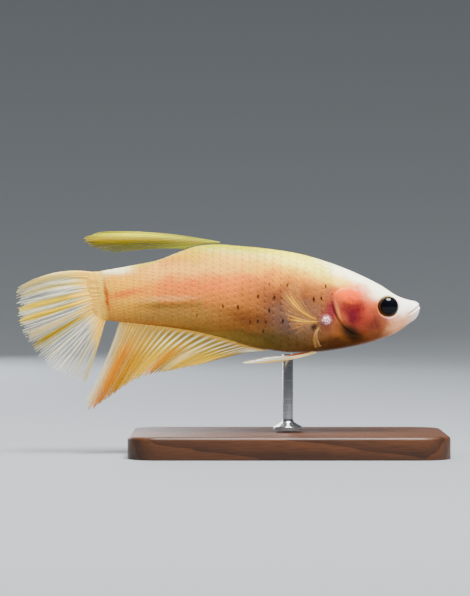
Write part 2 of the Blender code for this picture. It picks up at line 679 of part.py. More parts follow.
def stand_rod():
    """A turned rod with a small flange, standing on the base and reaching up to the belly."""
    foot = BASE_THICKNESS + GAP
    top = AXIS_HEIGHT + belly_line(ROD_STATION) - GAP
    profile = [
        (0.0, top), (ROD_RADIUS, top), (ROD_RADIUS, foot + 1.5 * FLANGE_HEIGHT),
        (ROD_RADIUS + 0.3, foot + FLANGE_HEIGHT), (FLANGE_RADIUS, foot + 0.6 * FLANGE_HEIGHT),
        (FLANGE_RADIUS, foot), (0.0, foot),
    ]
    mesh = bpy.data.meshes.new("stand_rod")
    points = [(radius * MM, 0.0, height * MM) for radius, height in profile]
    mesh.from_pydata(points, [(i, i + 1) for i in range(len(points) - 1)], [])
    rod = bpy.data.objects.new("stand_rod", mesh)
    PARTS.objects.link(rod)
    screw = rod.modifiers.new("turned", "SCREW")
    screw.steps = 20
    screw.render_steps = 20
    screw.use_merge_vertices = True
    screw.merge_threshold = 0.00001
    give_material(rod, STEEL)


def shade_smooth(thing):
    thing.data.shade_smooth()
    thing.data.set_sharp_from_angle(angle=math.radians(40))


clear_scene()
PARTS = new_collection("halfmoon_betta")
FISH = bpy.data.objects.new("fish_place", None)
FISH.location = (-ROD_STATION * MM, 0.0, AXIS_HEIGHT * MM)
PARTS.objects.link(FISH)

head = head_and_trunk()
jaw_parted_from(head)
eyes_and_gill_covers(head)
tail_stem()
caudal_fin()
anal_fin()
dorsal_fin()
pectoral_fins()
ventral_fins()
stand_base()
stand_rod()
for thing in PARTS.objects:
    if thing.type == "MESH":
        shade_smooth(thing)
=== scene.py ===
# %% [markdown]
# A halfmoon betta at life size, held on a small display stand. The model in CAD gives every
# place and size. This script dresses it: one moist skin over the parts of the body, overlapping
# scales, clear-webbed fins with branching rays, glassy eyes, and a finished stand.
# The first step loads the model as a fixed frame, with a helper that reads a part's box.

# %% Load the frame
import math
import random

import bmesh
import bpy
import numpy as np
from mathutils import Matrix, Vector


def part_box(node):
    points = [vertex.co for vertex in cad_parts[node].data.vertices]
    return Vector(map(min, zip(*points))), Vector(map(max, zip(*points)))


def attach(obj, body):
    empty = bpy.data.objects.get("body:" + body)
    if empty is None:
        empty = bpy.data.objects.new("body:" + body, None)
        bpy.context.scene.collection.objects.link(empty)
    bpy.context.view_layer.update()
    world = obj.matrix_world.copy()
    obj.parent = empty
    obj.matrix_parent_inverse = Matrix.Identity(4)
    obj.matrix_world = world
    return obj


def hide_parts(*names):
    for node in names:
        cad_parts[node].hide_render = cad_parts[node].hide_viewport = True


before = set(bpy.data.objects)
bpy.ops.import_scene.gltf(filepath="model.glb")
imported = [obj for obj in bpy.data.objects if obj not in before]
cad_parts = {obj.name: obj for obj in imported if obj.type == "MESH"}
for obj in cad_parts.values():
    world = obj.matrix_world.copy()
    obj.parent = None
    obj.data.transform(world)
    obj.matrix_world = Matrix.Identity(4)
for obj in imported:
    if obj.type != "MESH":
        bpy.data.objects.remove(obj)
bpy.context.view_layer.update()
print("nodes:", ", ".join(sorted(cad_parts)))

# %% [markdown]
# Fish places are (station, side, height) in millimetres, as in the model: the station runs from
# the end of the tail stem (0) to the snout, and the height is measured from the body axis.
# The rod's middle says where that frame hangs, so the whole dress follows the model.

# %% Where the fish hangs
MM = 0.001
ROD_STATION = 24.5
AXIS_HEIGHT = 20.0
BODY_LENGTH = 42.0
rod_low, rod_high = (np.array(corner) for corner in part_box("stand_rod"))
rod_middle = (rod_low + rod_high) / 2
FISH_SHIFT = np.array((rod_middle[0] / MM - ROD_STATION, rod_middle[1] / MM, AXIS_HEIGHT))
PIXEL = 0.1329
TAIL_END_PIXEL, AXIS_PIXEL = 103.5, 304.0


def at_pixel(across, down):
    """The station and height that a point of the photograph shows."""
    return (across - TAIL_END_PIXEL) * PIXEL, (AXIS_PIXEL - down) * PIXEL


def to_row(points):
    """Fish places in millimetres to metres over the stand."""
    return (np.asarray(points, float) + FISH_SHIFT) * MM


print("fish frame shifted by", np.round(FISH_SHIFT, 2), "mm")

# %% [markdown]
# Colours are written as the eye sees them on a screen, from 0 to 1, and turned into the linear
# values that shaders mix. They look strong here because the renderer's film curve softens them.
# Every material below is a tree of the same few kinds of node, so small helpers make those.

# %% Helpers for colours and nodes
VECTOR = "ShaderNodeVectorMath"


def linear(colour):
    """A screen colour as the linear values that light adds up in."""
    return tuple(c / 12.92 if c <= 0.04045 else ((c + 0.055) / 1.055) ** 2.4 for c in colour)


def paint(colour):
    """A screen colour as the four numbers of a shader's colour socket."""
    return (*linear(colour), 1.0)


def add_node(tree, kind, inputs=None, **settings):
    """A node with its settings made and each input either linked or set."""
    node = tree.nodes.new(kind)
    for name, value in settings.items():
        setattr(node, name, value)
    for name, value in (inputs or {}).items():
        socket = node.inputs[name]
        if isinstance(value, bpy.types.NodeSocket):
            tree.links.new(value, socket)
        else:
            socket.default_value = value
    return node


def new_material(name, **values):
    """A Principled material whose given sockets are set straight on the shader."""
    material = bpy.data.materials.new(name)
    material.use_nodes = True
    shader = material.node_tree.nodes["Principled BSDF"]
    for socket, value in values.items():
        shader.inputs[socket.replace("_", " ")].default_value = value
    return material, material.node_tree, shader


def maths(tree, operation, *values, kind="ShaderNodeMath", **settings):
    """What a maths node makes of its values, in order."""
    return add_node(tree, kind, dict(enumerate(values)), operation=operation, **settings).outputs[0]


def scaled_vector(tree, vector, by):
    return add_node(tree, VECTOR, {0: vector, "Scale": by}, operation="SCALE").outputs[0]


def mixed(tree, below, above, factor, kind="MIX"):
    """One colour laid over another by a factor."""
    mix = add_node(tree, "ShaderNodeMix", data_type="RGBA", blend_type=kind)
    for index, value in ((0, factor), (6, below), (7, above)):
        if isinstance(value, bpy.types.NodeSocket):
            tree.links.new(value, mix.inputs[index])
        else:
            mix.inputs[index].default_value = value
    return mix.outputs[2]


def ranged(tree, value, low, high, to_low=0.0, to_high=1.0):
    """A value read off one range onto another, and held at the ends."""
    return add_node(tree, "ShaderNodeMapRange", {
        "Value": value, "From Min": low, "From Max": high, "To Min": to_low, "To Max": to_high,
    }).outputs[0]


def noise(tree, point, scale, detail, roughness=0.5, output=0):
    """Soft noise from 0 to 1, or its colour output, which is three such values."""
    sockets = {"Vector": point, "Scale": scale, "Detail": detail, "Roughness": roughness}
    return add_node(tree, "ShaderNodeTexNoise", sockets).outputs[output]


def stretched(tree, point, scale):
    """The point's coordinates multiplied, which makes a pattern finer along the large ones."""
    return add_node(tree, "ShaderNodeMapping", {"Vector": point, "Scale": scale}).outputs[0]


def own_place(tree):
    """The piece's own coordinates, in metres."""
    return add_node(tree, "ShaderNodeTexCoord").outputs["Object"]


def stored(tree, name, output="Fac"):
    """A value that the mesh keeps for each of its points."""
    return add_node(tree, "ShaderNodeAttribute", attribute_name=name).outputs[output]


def emboss(tree, shader, height, strength, distance):
    """Lets a pattern stand out in the light while the mesh stays smooth."""
    bump = add_node(tree, "ShaderNodeBump", {"Height": height, "Strength": strength, "Distance": distance})
    tree.links.new(bump.outputs[0], shader.inputs["Normal"])


print("a screen grey of 0.5 is", round(linear((0.5,))[0], 3), "in linear light")

# %% [markdown]
# Most pieces are grids or rings of points worked out with numpy, which is quick and exact. These
# helpers turn them into meshes and objects. Every piece keeps its object at the origin, with its
# place in its points, so that a material can read fish millimetres from the piece's coordinates.

# %% Helpers for meshes and pieces
SIDES = ((-1, "right"), (1, "left"))


def add_object(name, data):
    thing = bpy.data.objects.new(name, data)
    bpy.context.scene.collection.objects.link(thing)
    return thing


def add_piece(name, mesh, material):
    """A finished piece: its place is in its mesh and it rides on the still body."""
    piece = add_object(name, mesh)
    if not mesh.materials:
        mesh.materials.append(material)
    mesh.shade_smooth()
    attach(piece, "root")
    return piece


def grid_faces(rows, columns, closed):
    """Quads over a grid of points, row after row, closed round each row where asked."""
    across = np.arange(columns if closed else columns - 1)
    row = np.arange(rows - 1)[:, None]
    a = row * columns + across
    b = row * columns + (across + 1) % columns
    return np.stack([a, b, b + columns, a + columns], axis=-1).reshape(-1, 4)


def cap_faces(first, sides, tip):
    """Triangles from a ring of points, which starts at first, to the point at its tip."""
    return [(first + i, first + (i + 1) % sides, tip) for i in range(sides)]


def whole_numbers(faces):
    """Faces as the plain whole numbers that a mesh is built from."""
    return [tuple(int(i) for i in face) for face in faces]


def mesh_from(name, points, faces):
    mesh = bpy.data.meshes.new(name)
    mesh.from_pydata([tuple(p) for p in to_row(points)], [], whole_numbers(faces))
    mesh.update()
    return mesh


def mesh_of(name, shape):
    """A mesh from a shape built with bmesh, which is then freed."""
    mesh = bpy.data.meshes.new(name)
    shape.to_mesh(mesh)
    shape.free()
    return mesh


def turned(profile, sides):
    """Points of a profile of radii and heights, swung round the upright axis."""
    turns = np.linspace(0, 2 * math.pi, sides, endpoint=False)
    return [(r * math.cos(t), r * math.sin(t), z) for r, z in profile for t in turns]


def turn_out(mesh):
    """Makes every face look outward."""
    shape = bmesh.new()
    shape.from_mesh(mesh)
    bmesh.ops.recalc_face_normals(shape, faces=shape.faces)
    if shape.calc_volume(signed=True) < 0:
        bmesh.ops.reverse_faces(shape, faces=shape.faces)
    shape.to_mesh(mesh)
    shape.free()


def keep_values(mesh, label, values, kind="FLOAT", field="value"):
    """Keeps a value for each point of the mesh, for a material or a tree to read."""
    layer = mesh.attributes.new(label, kind, "POINT")
    layer.data.foreach_set(field, np.asarray(values, np.float32).reshape(-1))


print("a tube of 3 rings with 4 sides has", len(grid_faces(3, 4, closed=True)), "faces")

# %% [markdown]
# The body is one loft: at each station a cross-section with a top, a bottom and a half width,
# read from smooth lines through a few named sizes. They are the model's own, so the dressed
# fish keeps its outline, while the section may be taken at hundreds of stations for a fine skin.

# %% Body lines
BACK_LINE = (
    (0.0, 4.3), (4.8, 5.25), (7.4, 5.85), (10.1, 6.9), (12.6, 7.7), (14.8, 7.9),
    (18.0, 7.7), (22.0, 7.3), (26.0, 6.65), (30.0, 5.5), (34.0, 3.9), (36.7, 2.55),
    (39.3, 0.95), (40.7, 0.5), (42.0, 0.3),
)
BELLY_LINE = (
    (0.0, -2.2), (4.8, -2.65), (8.8, -3.1), (12.8, -3.75), (16.7, -4.75), (19.4, -5.6),
    (22.0, -6.1), (26.0, -6.45), (28.7, -6.35), (32.7, -5.75), (36.7, -4.7),
    (39.3, -3.55), (41.0, -2.3), (42.0, -1.7),
)
HALF_WIDTH = (
    (0.0, 0.55), (2.0, 0.95), (5.0, 1.4), (10.0, 1.95), (15.0, 2.55), (20.0, 3.0),
    (25.0, 3.3), (31.0, 3.4), (35.0, 3.05), (37.8, 2.55), (39.6, 2.0), (41.0, 1.5), (42.0, 1.2),
)
BACK_SHARPNESS = ((0.0, 1.1), (20.0, 1.15), (30.0, 1.05), (36.0, 0.85), (42.0, 0.9))
BELLY_SHARPNESS = ((0.0, 1.1), (20.0, 1.05), (30.0, 0.95), (36.0, 1.0), (42.0, 1.0))
WIDEST_LEVEL = 0.47
SNOUT_ROUND_FROM, SNOUT_BLUNTNESS, SNOUT_HEIGHT = 41.0, 3.0, -0.55
TAIL_END_SLANT, TAIL_SLANT_REACH = 0.2, 6.0
TAIL_LOBE = 1.8


def smooth_curve(points):
    """A function that reads a smooth line through (place, value) pairs."""
    places, values = np.array(points, float).T
    slopes = np.gradient(values, places)

    def read(place):
        place = np.clip(place, places[0], places[-1])
        i = np.clip(np.searchsorted(places, place) - 1, 0, len(places) - 2)
        span = places[i + 1] - places[i]
        t = (place - places[i]) / span
        rise = t * t * (3 - 2 * t)
        bend = t * (1 - t) ** 2 * span * slopes[i] + t * t * (t - 1) * span * slopes[i + 1]
        return values[i] * (1 - rise) + values[i + 1] * rise + bend

    return read


back_line, belly_line = smooth_curve(BACK_LINE), smooth_curve(BELLY_LINE)
half_width = smooth_curve(HALF_WIDTH)
back_sharpness, belly_sharpness = smooth_curve(BACK_SHARPNESS), smooth_curve(BELLY_SHARPNESS)
whole_stations = np.arange(BODY_LENGTH)
deepest = (back_line(whole_stations) - belly_line(whole_stations)).max()
print("body", round(float(deepest), 1), "mm deep at its deepest")

# %% [markdown]
# A cross-section is a squeezed oval with its widest level a little under the middle. The snout
# closes in a round, and behind the last station the fleshy lobe that holds the tail's rays thins
# out. The same lines also answer how far the skin stands out at any place, for what lies on it.

# %% Sections through the body
TAIL_LOBE_ROUNDING, TAIL_LOBE_THINNING = 0.5, 0.97


def section(station):
    """Top, widest level, bottom and half width, also over the fleshy lobe behind station 0."""
    top, bottom, half = back_line(station), belly_line(station), half_width(station)
    share = np.clip((station - SNOUT_ROUND_FROM) / (BODY_LENGTH - SNOUT_ROUND_FROM), 0, 1)
    close = np.sqrt(1 - share**SNOUT_BLUNTNESS)
    top = SNOUT_HEIGHT + (top - SNOUT_HEIGHT) * close
    bottom = SNOUT_HEIGHT + (bottom - SNOUT_HEIGHT) * close
    middle = bottom + (top - bottom) * WIDEST_LEVEL
    lobe = np.clip(-station / TAIL_LOBE, 0, 1)
    round_off = 1 - TAIL_LOBE_ROUNDING * lobe**4
    top = middle + (top - middle) * round_off
    bottom = middle + (bottom - middle) * round_off
    return top, middle, bottom, half * close * (1 - lobe * TAIL_LOBE_THINNING)


def skin_points(station, angle):
    """Surface points, with the angle from the back over the right side."""
    top, middle, bottom, half = section(station)
    up, out = np.cos(angle), np.sin(angle)
    sharp = np.where(up > 0, back_sharpness(station), belly_sharpness(station))
    height = middle + up * np.where(up > 0, top - middle, middle - bottom)
    side = -np.sign(out) * half * np.abs(out) ** sharp
    slant = TAIL_END_SLANT * np.clip(1 - station / TAIL_SLANT_REACH, 0, 1)
    return np.stack(np.broadcast_arrays(station - slant * (height - middle), side, height), axis=-1)


def side_at(station, height):
    """How far the surface stands out from the mid plane at a station and height."""
    top, middle, bottom, half = section(station)
    up = np.abs(height - middle) / np.where(height > middle, top - middle, middle - bottom)
    sharp = np.where(height > middle, back_sharpness(station), belly_sharpness(station))
    return half * np.sqrt(1 - np.clip(up, 0, 1) ** 2) ** sharp


def upper_and_lower(station, side):
    """Heights of the back and of the belly at a distance to the side of the mid plane."""
    top, middle, bottom, half = section(station)
    reach = min(1.0, abs(side) / half)
    above = math.sqrt(1 - reach ** (2 / back_sharpness(station)))
    below = math.sqrt(1 - reach ** (2 / belly_sharpness(station)))
    return middle + above * (top - middle), middle - below * (middle - bottom)


print("body", round(2 * float(half_width(31.0)), 2), "mm wide at the gills")

# %% [markdown]
# The skin gets its relief by moving points along their own normals, which keeps both sides alike
# and free of seams. The gill cover comes first: a bony plate that swells towards its free rear
# edge and drops into the gill opening's groove. Its outline is an oval that leans with the head.

# %% Relief of the gill cover
GILL_STATION, GILL_HEIGHT = 33.0, -0.9
GILL_HALF_LENGTH, GILL_HALF_HEIGHT = 2.4, 3.05
GILL_LEAN, GILL_TAPER, GILL_FRONT = -0.22, 0.2, 0.8
PLATE_FOOT, PLATE_RISE, GROOVE_DEPTH = 0.04, 0.11, 0.10
RIM_SHARPNESS = 2.5


def smoothstep(low, high, value):
    """Rises softly from 0 to 1 between two values, or falls where the first is the larger."""
    t = np.clip((value - low) / (high - low), 0.0, 1.0)
    return t * t * (3 - 2 * t)


def bump_at(distance, width):
    """A soft hill that is 1 at no distance and all but gone at twice its width."""
    return np.exp(-((distance / width) ** 2))


def gill_relief(station, height):
    """How far the cover stands out, and how deep its groove is, at each place."""
    z = (height - GILL_HEIGHT) / GILL_HALF_HEIGHT
    x = station - GILL_STATION - GILL_LEAN * (height - GILL_HEIGHT)
    length = GILL_HALF_LENGTH * (1 + GILL_TAPER * z) * np.where(x > 0, GILL_FRONT, 1.0)
    beyond = (np.hypot(x / length, z) - 1) * RIM_SHARPNESS
    free = smoothstep(1.3, -0.6, x) * smoothstep(1.25, 0.7, z)
    plate = (PLATE_FOOT + PLATE_RISE * smoothstep(-1.7, -0.1, beyond)) * smoothstep(0.09, -0.09, beyond)
    plate = plate * (1 - 0.6 * smoothstep(0.1, 0.8, z))
    groove = -GROOVE_DEPTH * bump_at(beyond - 0.12, 0.16) * smoothstep(-0.05, 0.08, beyond)
    return free * (plate + groove)


print("gill cover", 2 * GILL_HALF_HEIGHT, "mm tall, its edge", round(PLATE_FOOT + PLATE_RISE, 2), "mm high")

# %% [markdown]
# The face of a betta is small and upturned. The mouth is a slit between two soft lips, the skin
# dips under each eyeball and stands up as a ring round it, and two pairs of nostrils open on the
# snout. Cutting real holes would need a much denser mesh, and from a hand's width away a shallow
# pit reads the same.

# %% Relief of the mouth, the eyes and the nostrils
MOUTH_TIP, MOUTH_CORNER = (42.0, -0.2), (40.5, -1.35)
LIP_OFFSET, LIP_RISE, SLIT_DEPTH = 0.27, 0.06, 0.13
EYE_STATION, EYE_SIDE, EYE_HEIGHT, EYE_RADIUS, EYE_BULGE = 37.75, 1.8, -0.33, 1.36, 0.95
EYE_RING_RADIUS, EYE_RING_RISE, SOCKET_DEPTH = 1.6, 0.045, 0.8
NOSTRILS = ((39.75, 0.85), (39.0, 1.0))
NOSTRIL_RIM_RADIUS, NOSTRIL_RIM_RISE, NOSTRIL_DEPTH = 0.22, 0.06, 0.22


def mouth_relief(station, height):
    """A slit along the mouth line, between two soft lips."""
    tip, corner = np.array(MOUTH_TIP), np.array(MOUTH_CORNER)
    ahead = (tip - corner) / np.linalg.norm(tip - corner)
    along = (station - corner[0]) * ahead[0] + (height - corner[1]) * ahead[1]
    across = (height - corner[1]) * ahead[0] - (station - corner[0]) * ahead[1]
    here = smoothstep(-0.22, 0.2, along)
    lips = LIP_RISE * (bump_at(across - LIP_OFFSET, 0.15) + bump_at(across + LIP_OFFSET, 0.15))
    return here * (lips - SLIT_DEPTH * bump_at(across, 0.06))


def eye_relief(station, height):
    """The skin dips under the eyeball and stands up as a soft ring round it."""
    away = np.hypot(station - EYE_STATION, height - EYE_HEIGHT)
    return EYE_RING_RISE * bump_at(away - EYE_RING_RADIUS, 0.16) - SOCKET_DEPTH * smoothstep(1.46, 1.25, away)


def nostril_relief(points):
    """Small pits with a rim, two on each side."""
    relief = np.zeros(points.shape[:-1])
    for station, side in NOSTRILS:
        top = upper_and_lower(station, side)[0]
        for way, _ in SIDES:
            away = np.linalg.norm(points - np.array((station, way * side, top)), axis=-1)
            rim = NOSTRIL_RIM_RISE * bump_at(away - NOSTRIL_RIM_RADIUS, 0.08)
            relief += rim - NOSTRIL_DEPTH * bump_at(away, 0.12)
    return relief


print("mouth line", round(math.dist(MOUTH_TIP, MOUTH_CORNER), 2), "mm long,", 2 * len(NOSTRILS), "nostrils")

# %% [markdown]
# Three quieter forms finish the head: the edge of the preopercle, a bone whose curve shows behind
# the cheek, the fold under the throat, and a swelling under the lobe at each pectoral fin. They
# are a few hundredths of a millimetre deep, but the light finds them.

# %% Relief of the cheek, the throat and the shoulder
CHEEK_STATION, CHEEK_HEIGHT, CHEEK_BOW, CHEEK_DEPTH = 35.7, -1.2, 0.12, 0.035
THROAT_STATION, THROAT_HEIGHT, THROAT_SLOPE, THROAT_DEPTH = 36.0, -4.05, 0.28, 0.05
KNOB_STATION, KNOB_HEIGHT, KNOB_RISE, KNOB_WIDTH = 29.5, -2.1, 0.12, 0.8


def cheek_relief(station, height):
    preopercle = station - (CHEEK_STATION + CHEEK_BOW * (height - CHEEK_HEIGHT) ** 2)
    edge = -CHEEK_DEPTH * bump_at(preopercle, 0.16)
    edge = edge * smoothstep(-4.2, -3.0, height) * smoothstep(1.6, 0.6, height)
    throat = height - (THROAT_HEIGHT + THROAT_SLOPE * (station - THROAT_STATION))
    fold = -THROAT_DEPTH * bump_at(throat, 0.14)
    fold = fold * smoothstep(33.6, 35.0, station) * smoothstep(40.2, 39.0, station)
    return edge + fold


def knob_relief(station, height):
    return KNOB_RISE * bump_at(np.hypot(station - KNOB_STATION, height - KNOB_HEIGHT), KNOB_WIDTH)


print("shoulder swells by", KNOB_RISE, "mm under the lobe")

# %% [markdown]
# The skin is one grid of rings over the loft, closest at the head, where the relief is fine. One
# piece for the whole body, where the model has six parts, gives a real fish's unbroken skin. Over
# the tail's fleshy lobe the roots of the rays show as low ridges, so the rays are counted here.

# %% Weave the skin
SKIN_AROUND = 208
# Start, end and number of rings
SKIN_STRETCHES = (
    (-TAIL_LOBE, 0.0, 18), (0.0, 29.0, 149), (29.0, 40.0, 119), (40.0, SNOUT_ROUND_FROM, 17),
)
SNOUT_RINGS = 26
CAUDAL_RAYS, CAUDAL_ROOT_TOP, CAUDAL_ROOT_BOTTOM, CAUDAL_CROWDING = 13, 3.95, -1.95, 0.55
TAIL_LOBE_RIDGE = 0.02
RAY_MARGIN = 0.3


def ray_pitches(rays):
    """The rays' spacings that fit along a fin's base, with a margin outside the end rays."""
    return rays - 2 * (0.5 - RAY_MARGIN)


def ray_phase(u, rays):
    """A count that is a whole number on each ray of a fin, for a share u along its base."""
    return u * ray_pitches(rays) - RAY_MARGIN


def tail_lobe_relief(station, height):
    """The tail's fleshy lobe rises a little over every ray's root."""
    down = np.clip((CAUDAL_ROOT_TOP - height) / (CAUDAL_ROOT_TOP - CAUDAL_ROOT_BOTTOM), 0, 1)
    u = down ** (1 / CAUDAL_CROWDING)
    return TAIL_LOBE_RIDGE * np.cos(2 * math.pi * ray_phase(u, CAUDAL_RAYS)) * smoothstep(-0.1, -0.9, station)


def skin_stations():
    """Where the rings lie: evenly in each stretch, then along the snout's round."""
    even = [np.linspace(start, end, rings, endpoint=False) for start, end, rings in SKIN_STRETCHES]
    bend = np.sin(np.linspace(0, math.pi / 2, SNOUT_RINGS))
    snout = SNOUT_ROUND_FROM + (BODY_LENGTH - SNOUT_ROUND_FROM) * bend
    return np.concatenate([*even, snout[:-1], [BODY_LENGTH - 0.001]])


def skin_normals(points):
    """Directions straight out of a grid of skin points."""
    round_ring = np.roll(points, -1, axis=1) - np.roll(points, 1, axis=1)
    normals = np.cross(round_ring, np.gradient(points, axis=0))
    normals /= np.linalg.norm(normals, axis=2)[:, :, None] + 1e-12
    return normals if normals[len(points) // 2, 0, 2] > 0 else -normals


def skin_relief(points):
    station, side, height = points[..., 0], points[..., 1], points[..., 2]
    relief = gill_relief(station, height) + mouth_relief(station, height)
    relief += eye_relief(station, height) * smoothstep(0.9, 1.3, np.abs(side))
    relief += tail_lobe_relief(station, height)
    relief += nostril_relief(points) + cheek_relief(station, height) + knob_relief(station, height)
    return relief


turns = np.linspace(0, 2 * math.pi, SKIN_AROUND, endpoint=False)
skin = skin_points(skin_stations()[:, None], turns[None, :])
skin = skin + skin_normals(skin) * skin_relief(skin)[..., None]
rings, last_ring, grid_size = len(skin), (len(skin) - 1) * SKIN_AROUND, len(skin) * SKIN_AROUND
skin_ends = np.stack([skin[0].mean(axis=0), skin[-1].mean(axis=0)])
skin_faces = list(grid_faces(rings, SKIN_AROUND, closed=True)) + cap_faces(0, SKIN_AROUND, grid_size)
skin_faces += cap_faces(last_ring, SKIN_AROUND, grid_size + 1)
skin_mesh = mesh_from("betta_skin", np.concatenate([skin.reshape(-1, 3), skin_ends]), skin_faces)
turn_out(skin_mesh)
print("skin:", len(skin_mesh.polygons), "faces over", rings, "rings")

# %% [markdown]
# The skin's colours lie in soft areas: yellow along the back, white over the head, a salmon band
# on the flank, gold behind it, a brown and violet-grey belly whose darkness is partly painted shade,
# a red gill with a dark lower edge, and painted highlights on the rear flank and the tail stem's top.
# Each area is one oval, and later ones lie over earlier ones, as a painter builds up a model fish.
# A picture wrapped round the fish would be quicker, but it would blur close up.

# %% Areas of colour on the skin
SKIN_BASE = (0.76, 0.45, 0.18)
# Name, station, height, lean in degrees, half length, half height, colour, strength, softness
AREAS = (
    ("salmon flank", 14.0, 3.0, -5, 21.0, 4.4, (0.97, 0.49, 0.15), 0.95, 0.9),
    ("shoulder gold", 25.0, 4.3, 12, 9.0, 2.9, (0.99, 0.60, 0.12), 0.90, 0.9),
    ("back cream", 20.0, 6.7, 2, 17.0, 3.0, (0.93, 0.70, 0.0), 0.92, 0.8),
    ("pale upper flank", 11.5, 4.6, -5, 15.0, 2.0, (1.0, 0.72, 0.30), 0.70, 0.9),
    ("brown flank", 24.7, 0.4, 5, 9.2, 4.6, (0.46, 0.25, 0.16), 0.92, 0.9),
    ("rear flank gold", 8.0, -1.2, 4, 11.0, 2.2, (0.72, 0.51, 0.22), 0.85, 0.7),
    # A painted highlight: a pale line of light just above the olive line
    ("highlight above the olive line", 8.5, 0.75, -2, 7.0, 0.6, (1.0, 0.68, 0.38), 0.50, 0.9),
    ("olive line", 8.2, -0.2, -1, 8.0, 0.7, (0.44, 0.31, 0.10), 0.66, 0.9),
    ("violet belly", 25.6, -2.6, 0, 6.4, 4.2, (0.48, 0.36, 0.30), 0.90, 0.8),
    # The dark belly is partly its own brown and partly painted shade on the underside
    ("dark belly and painted shade", 21.5, -5.0, 9, 13.5, 3.1, (0.37, 0.30, 0.13), 0.92, 0.9),
    ("red-brown flank", 19.6, -1.9, 9, 6.0, 1.8, (0.40, 0.20, 0.09), 0.75, 0.9),
    ("olive belly edge", 15.6, -4.15, 13, 8.4, 1.5, (0.63, 0.51, 0.23), 0.76, 0.9),
    ("back yellow", 15.5, 8.6, 3, 18.0, 2.9, (0.70, 0.68, 0.0), 1.0, 0.8),
    ("rear back yellow", 7.0, 6.4, -22, 7.0, 1.2, (0.68, 0.68, 0.0), 0.97, 0.8),
    ("head peach", 35.5, -0.9, 5, 6.0, 4.6, (0.94, 0.50, 0.30), 0.92, 0.7),
    ("nape", 27.5, 5.6, 16, 9.0, 2.7, (0.99, 0.92, 0.22), 0.97, 0.8),
    ("white head", 36.0, 2.9, 27, 11.0, 2.9, (0.99, 0.99, 0.86), 1.00, 0.7),
    ("white snout", 40.4, -0.8, 8, 3.9, 2.7, (0.99, 0.96, 0.93), 0.98, 0.7),
    ("cheek", 35.5, -2.1, -8, 4.4, 3.4, (0.30, 0.09, 0.10), 0.90, 0.9),
    ("jaw", 37.0, -4.0, -24, 4.4, 1.5, (0.54, 0.30, 0.20), 0.85, 0.9),
    ("chin", 39.4, -2.5, -38, 3.6, 1.6, (0.99, 0.70, 0.50), 0.97, 0.9),
    ("throat", 31.5, -5.4, -8, 9.0, 2.5, (0.27, 0.15, 0.07), 0.94, 0.9),
    ("gill cover", 33.7, -0.8, 6, 3.2, 3.4, (0.74, 0.27, 0.15), 0.85, 0.8),
    ("gill margin", 31.9, 1.5, -40, 2.6, 1.4, (0.94, 0.46, 0.08), 0.85, 0.7),
    ("gill middle", 32.9, -0.4, -10, 2.9, 2.5, (0.42, 0.14, 0.10), 0.92, 0.8),
    ("gill crown", 33.0, 1.6, -6, 3.4, 1.5, (0.90, 0.29, 0.06), 0.92, 0.9),
    ("gold over the gill", 31.2, 3.1, 10, 3.6, 1.1, (0.98, 0.80, 0.16), 0.62, 0.9),
    ("gill blotch", 33.35, -1.45, 24, 2.3, 2.1, (0.36, 0.07, 0.13), 0.90, 0.9),
    ("behind the gill", 30.2, -1.0, 8, 2.2, 4.2, (0.46, 0.13, 0.17), 0.95, 0.9),
    ("gill line", 31.05, -0.9, -16, 0.34, 2.3, (0.78, 0.50, 0.24), 0.55, 0.9),
    ("dark gill edge", 32.7, -3.6, 30, 3.1, 1.6, (0.08, 0.06, 0.03), 0.94, 0.85),
    ("shoulder knob", 29.5, -2.05, 0, 1.0, 0.95, (0.86, 0.60, 0.60), 0.85, 0.9),
    ("fin pit", 27.9, -2.85, 12, 0.6, 1.0, (0.04, 0.04, 0.09), 0.97, 0.8),
    ("tail stem", 2.6, 1.7, 0, 5.6, 4.8, (0.99, 0.66, 0.13), 0.88, 0.8),
    ("rose line", 3.0, 1.4, -12, 4.6, 0.85, (0.88, 0.34, 0.14), 0.75, 0.9),
    ("rose flank", 12.0, 2.4, -3, 9.0, 1.9, (0.95, 0.42, 0.17), 0.45, 0.9),
    ("fin base line", 9.0, -3.1, 4, 8.5, 0.5, (0.46, 0.26, 0.11), 0.50, 0.9),
    # A painted highlight: white light along the top edge of the tail stem
    ("highlight on the tail stem's top", 1.4, 4.8, -11, 4.4, 1.5, (0.99, 0.96, 0.72), 0.97, 0.9),
    ("root of the tail", -1.4, 1.1, 0, 2.4, 6.5, (0.98, 0.74, 0.26), 0.95, 0.45),
    ("tail root arc", 0.45, 1.2, -9, 0.42, 3.4, (0.66, 0.20, 0.08), 0.85, 0.8),
    ("mouth", 41.25, -0.78, -37, 1.0, 0.09, (0.50, 0.26, 0.24), 0.75, 0.6),
)
# These keep sharp edges: noise doesn't push their outlines about
PRECISE = (
    "mouth", "dark gill edge", "gill line", "gill margin", "fin pit", "shoulder knob", "olive line",
    "rose line",
)
print(len(AREAS), "areas of colour, the longest the", max(AREAS, key=lambda area: area[4])[0])

# %% [markdown]
# An oval is a distance from a centre, measured in a mapping that is squeezed to its half length and
# half height. It goes right through the fish, so both sides get it. Soft noise pushes the places
# about first, so that no edge looks drawn.

# %% Ovals with soft edges
THROUGH = 1000.0
SMALL_AREA = 1.3
BROAD_WARP, CLOSE_WARP = (0.55, 2.4), (2.2, 0.7)


def oval(tree, point, centre, lean, halves, softness):
    """A factor that is 1 inside an oval and fades to 0 at its rim."""
    local = add_node(tree, "ShaderNodeMapping", {
        "Vector": point, "Location": centre, "Rotation": (0.0, math.radians(lean), 0.0), "Scale": halves,
    }, vector_type="TEXTURE")
    away = add_node(tree, "ShaderNodeVectorMath", {0: local.outputs[0]}, operation="LENGTH")
    fade = add_node(tree, "ShaderNodeMapRange", {
        "Value": away.outputs["Value"], "From Min": 1.0, "From Max": 1.0 - softness, "To Max": 1.0,
    }, interpolation_type="SMOOTHSTEP")
    return fade.outputs[0]


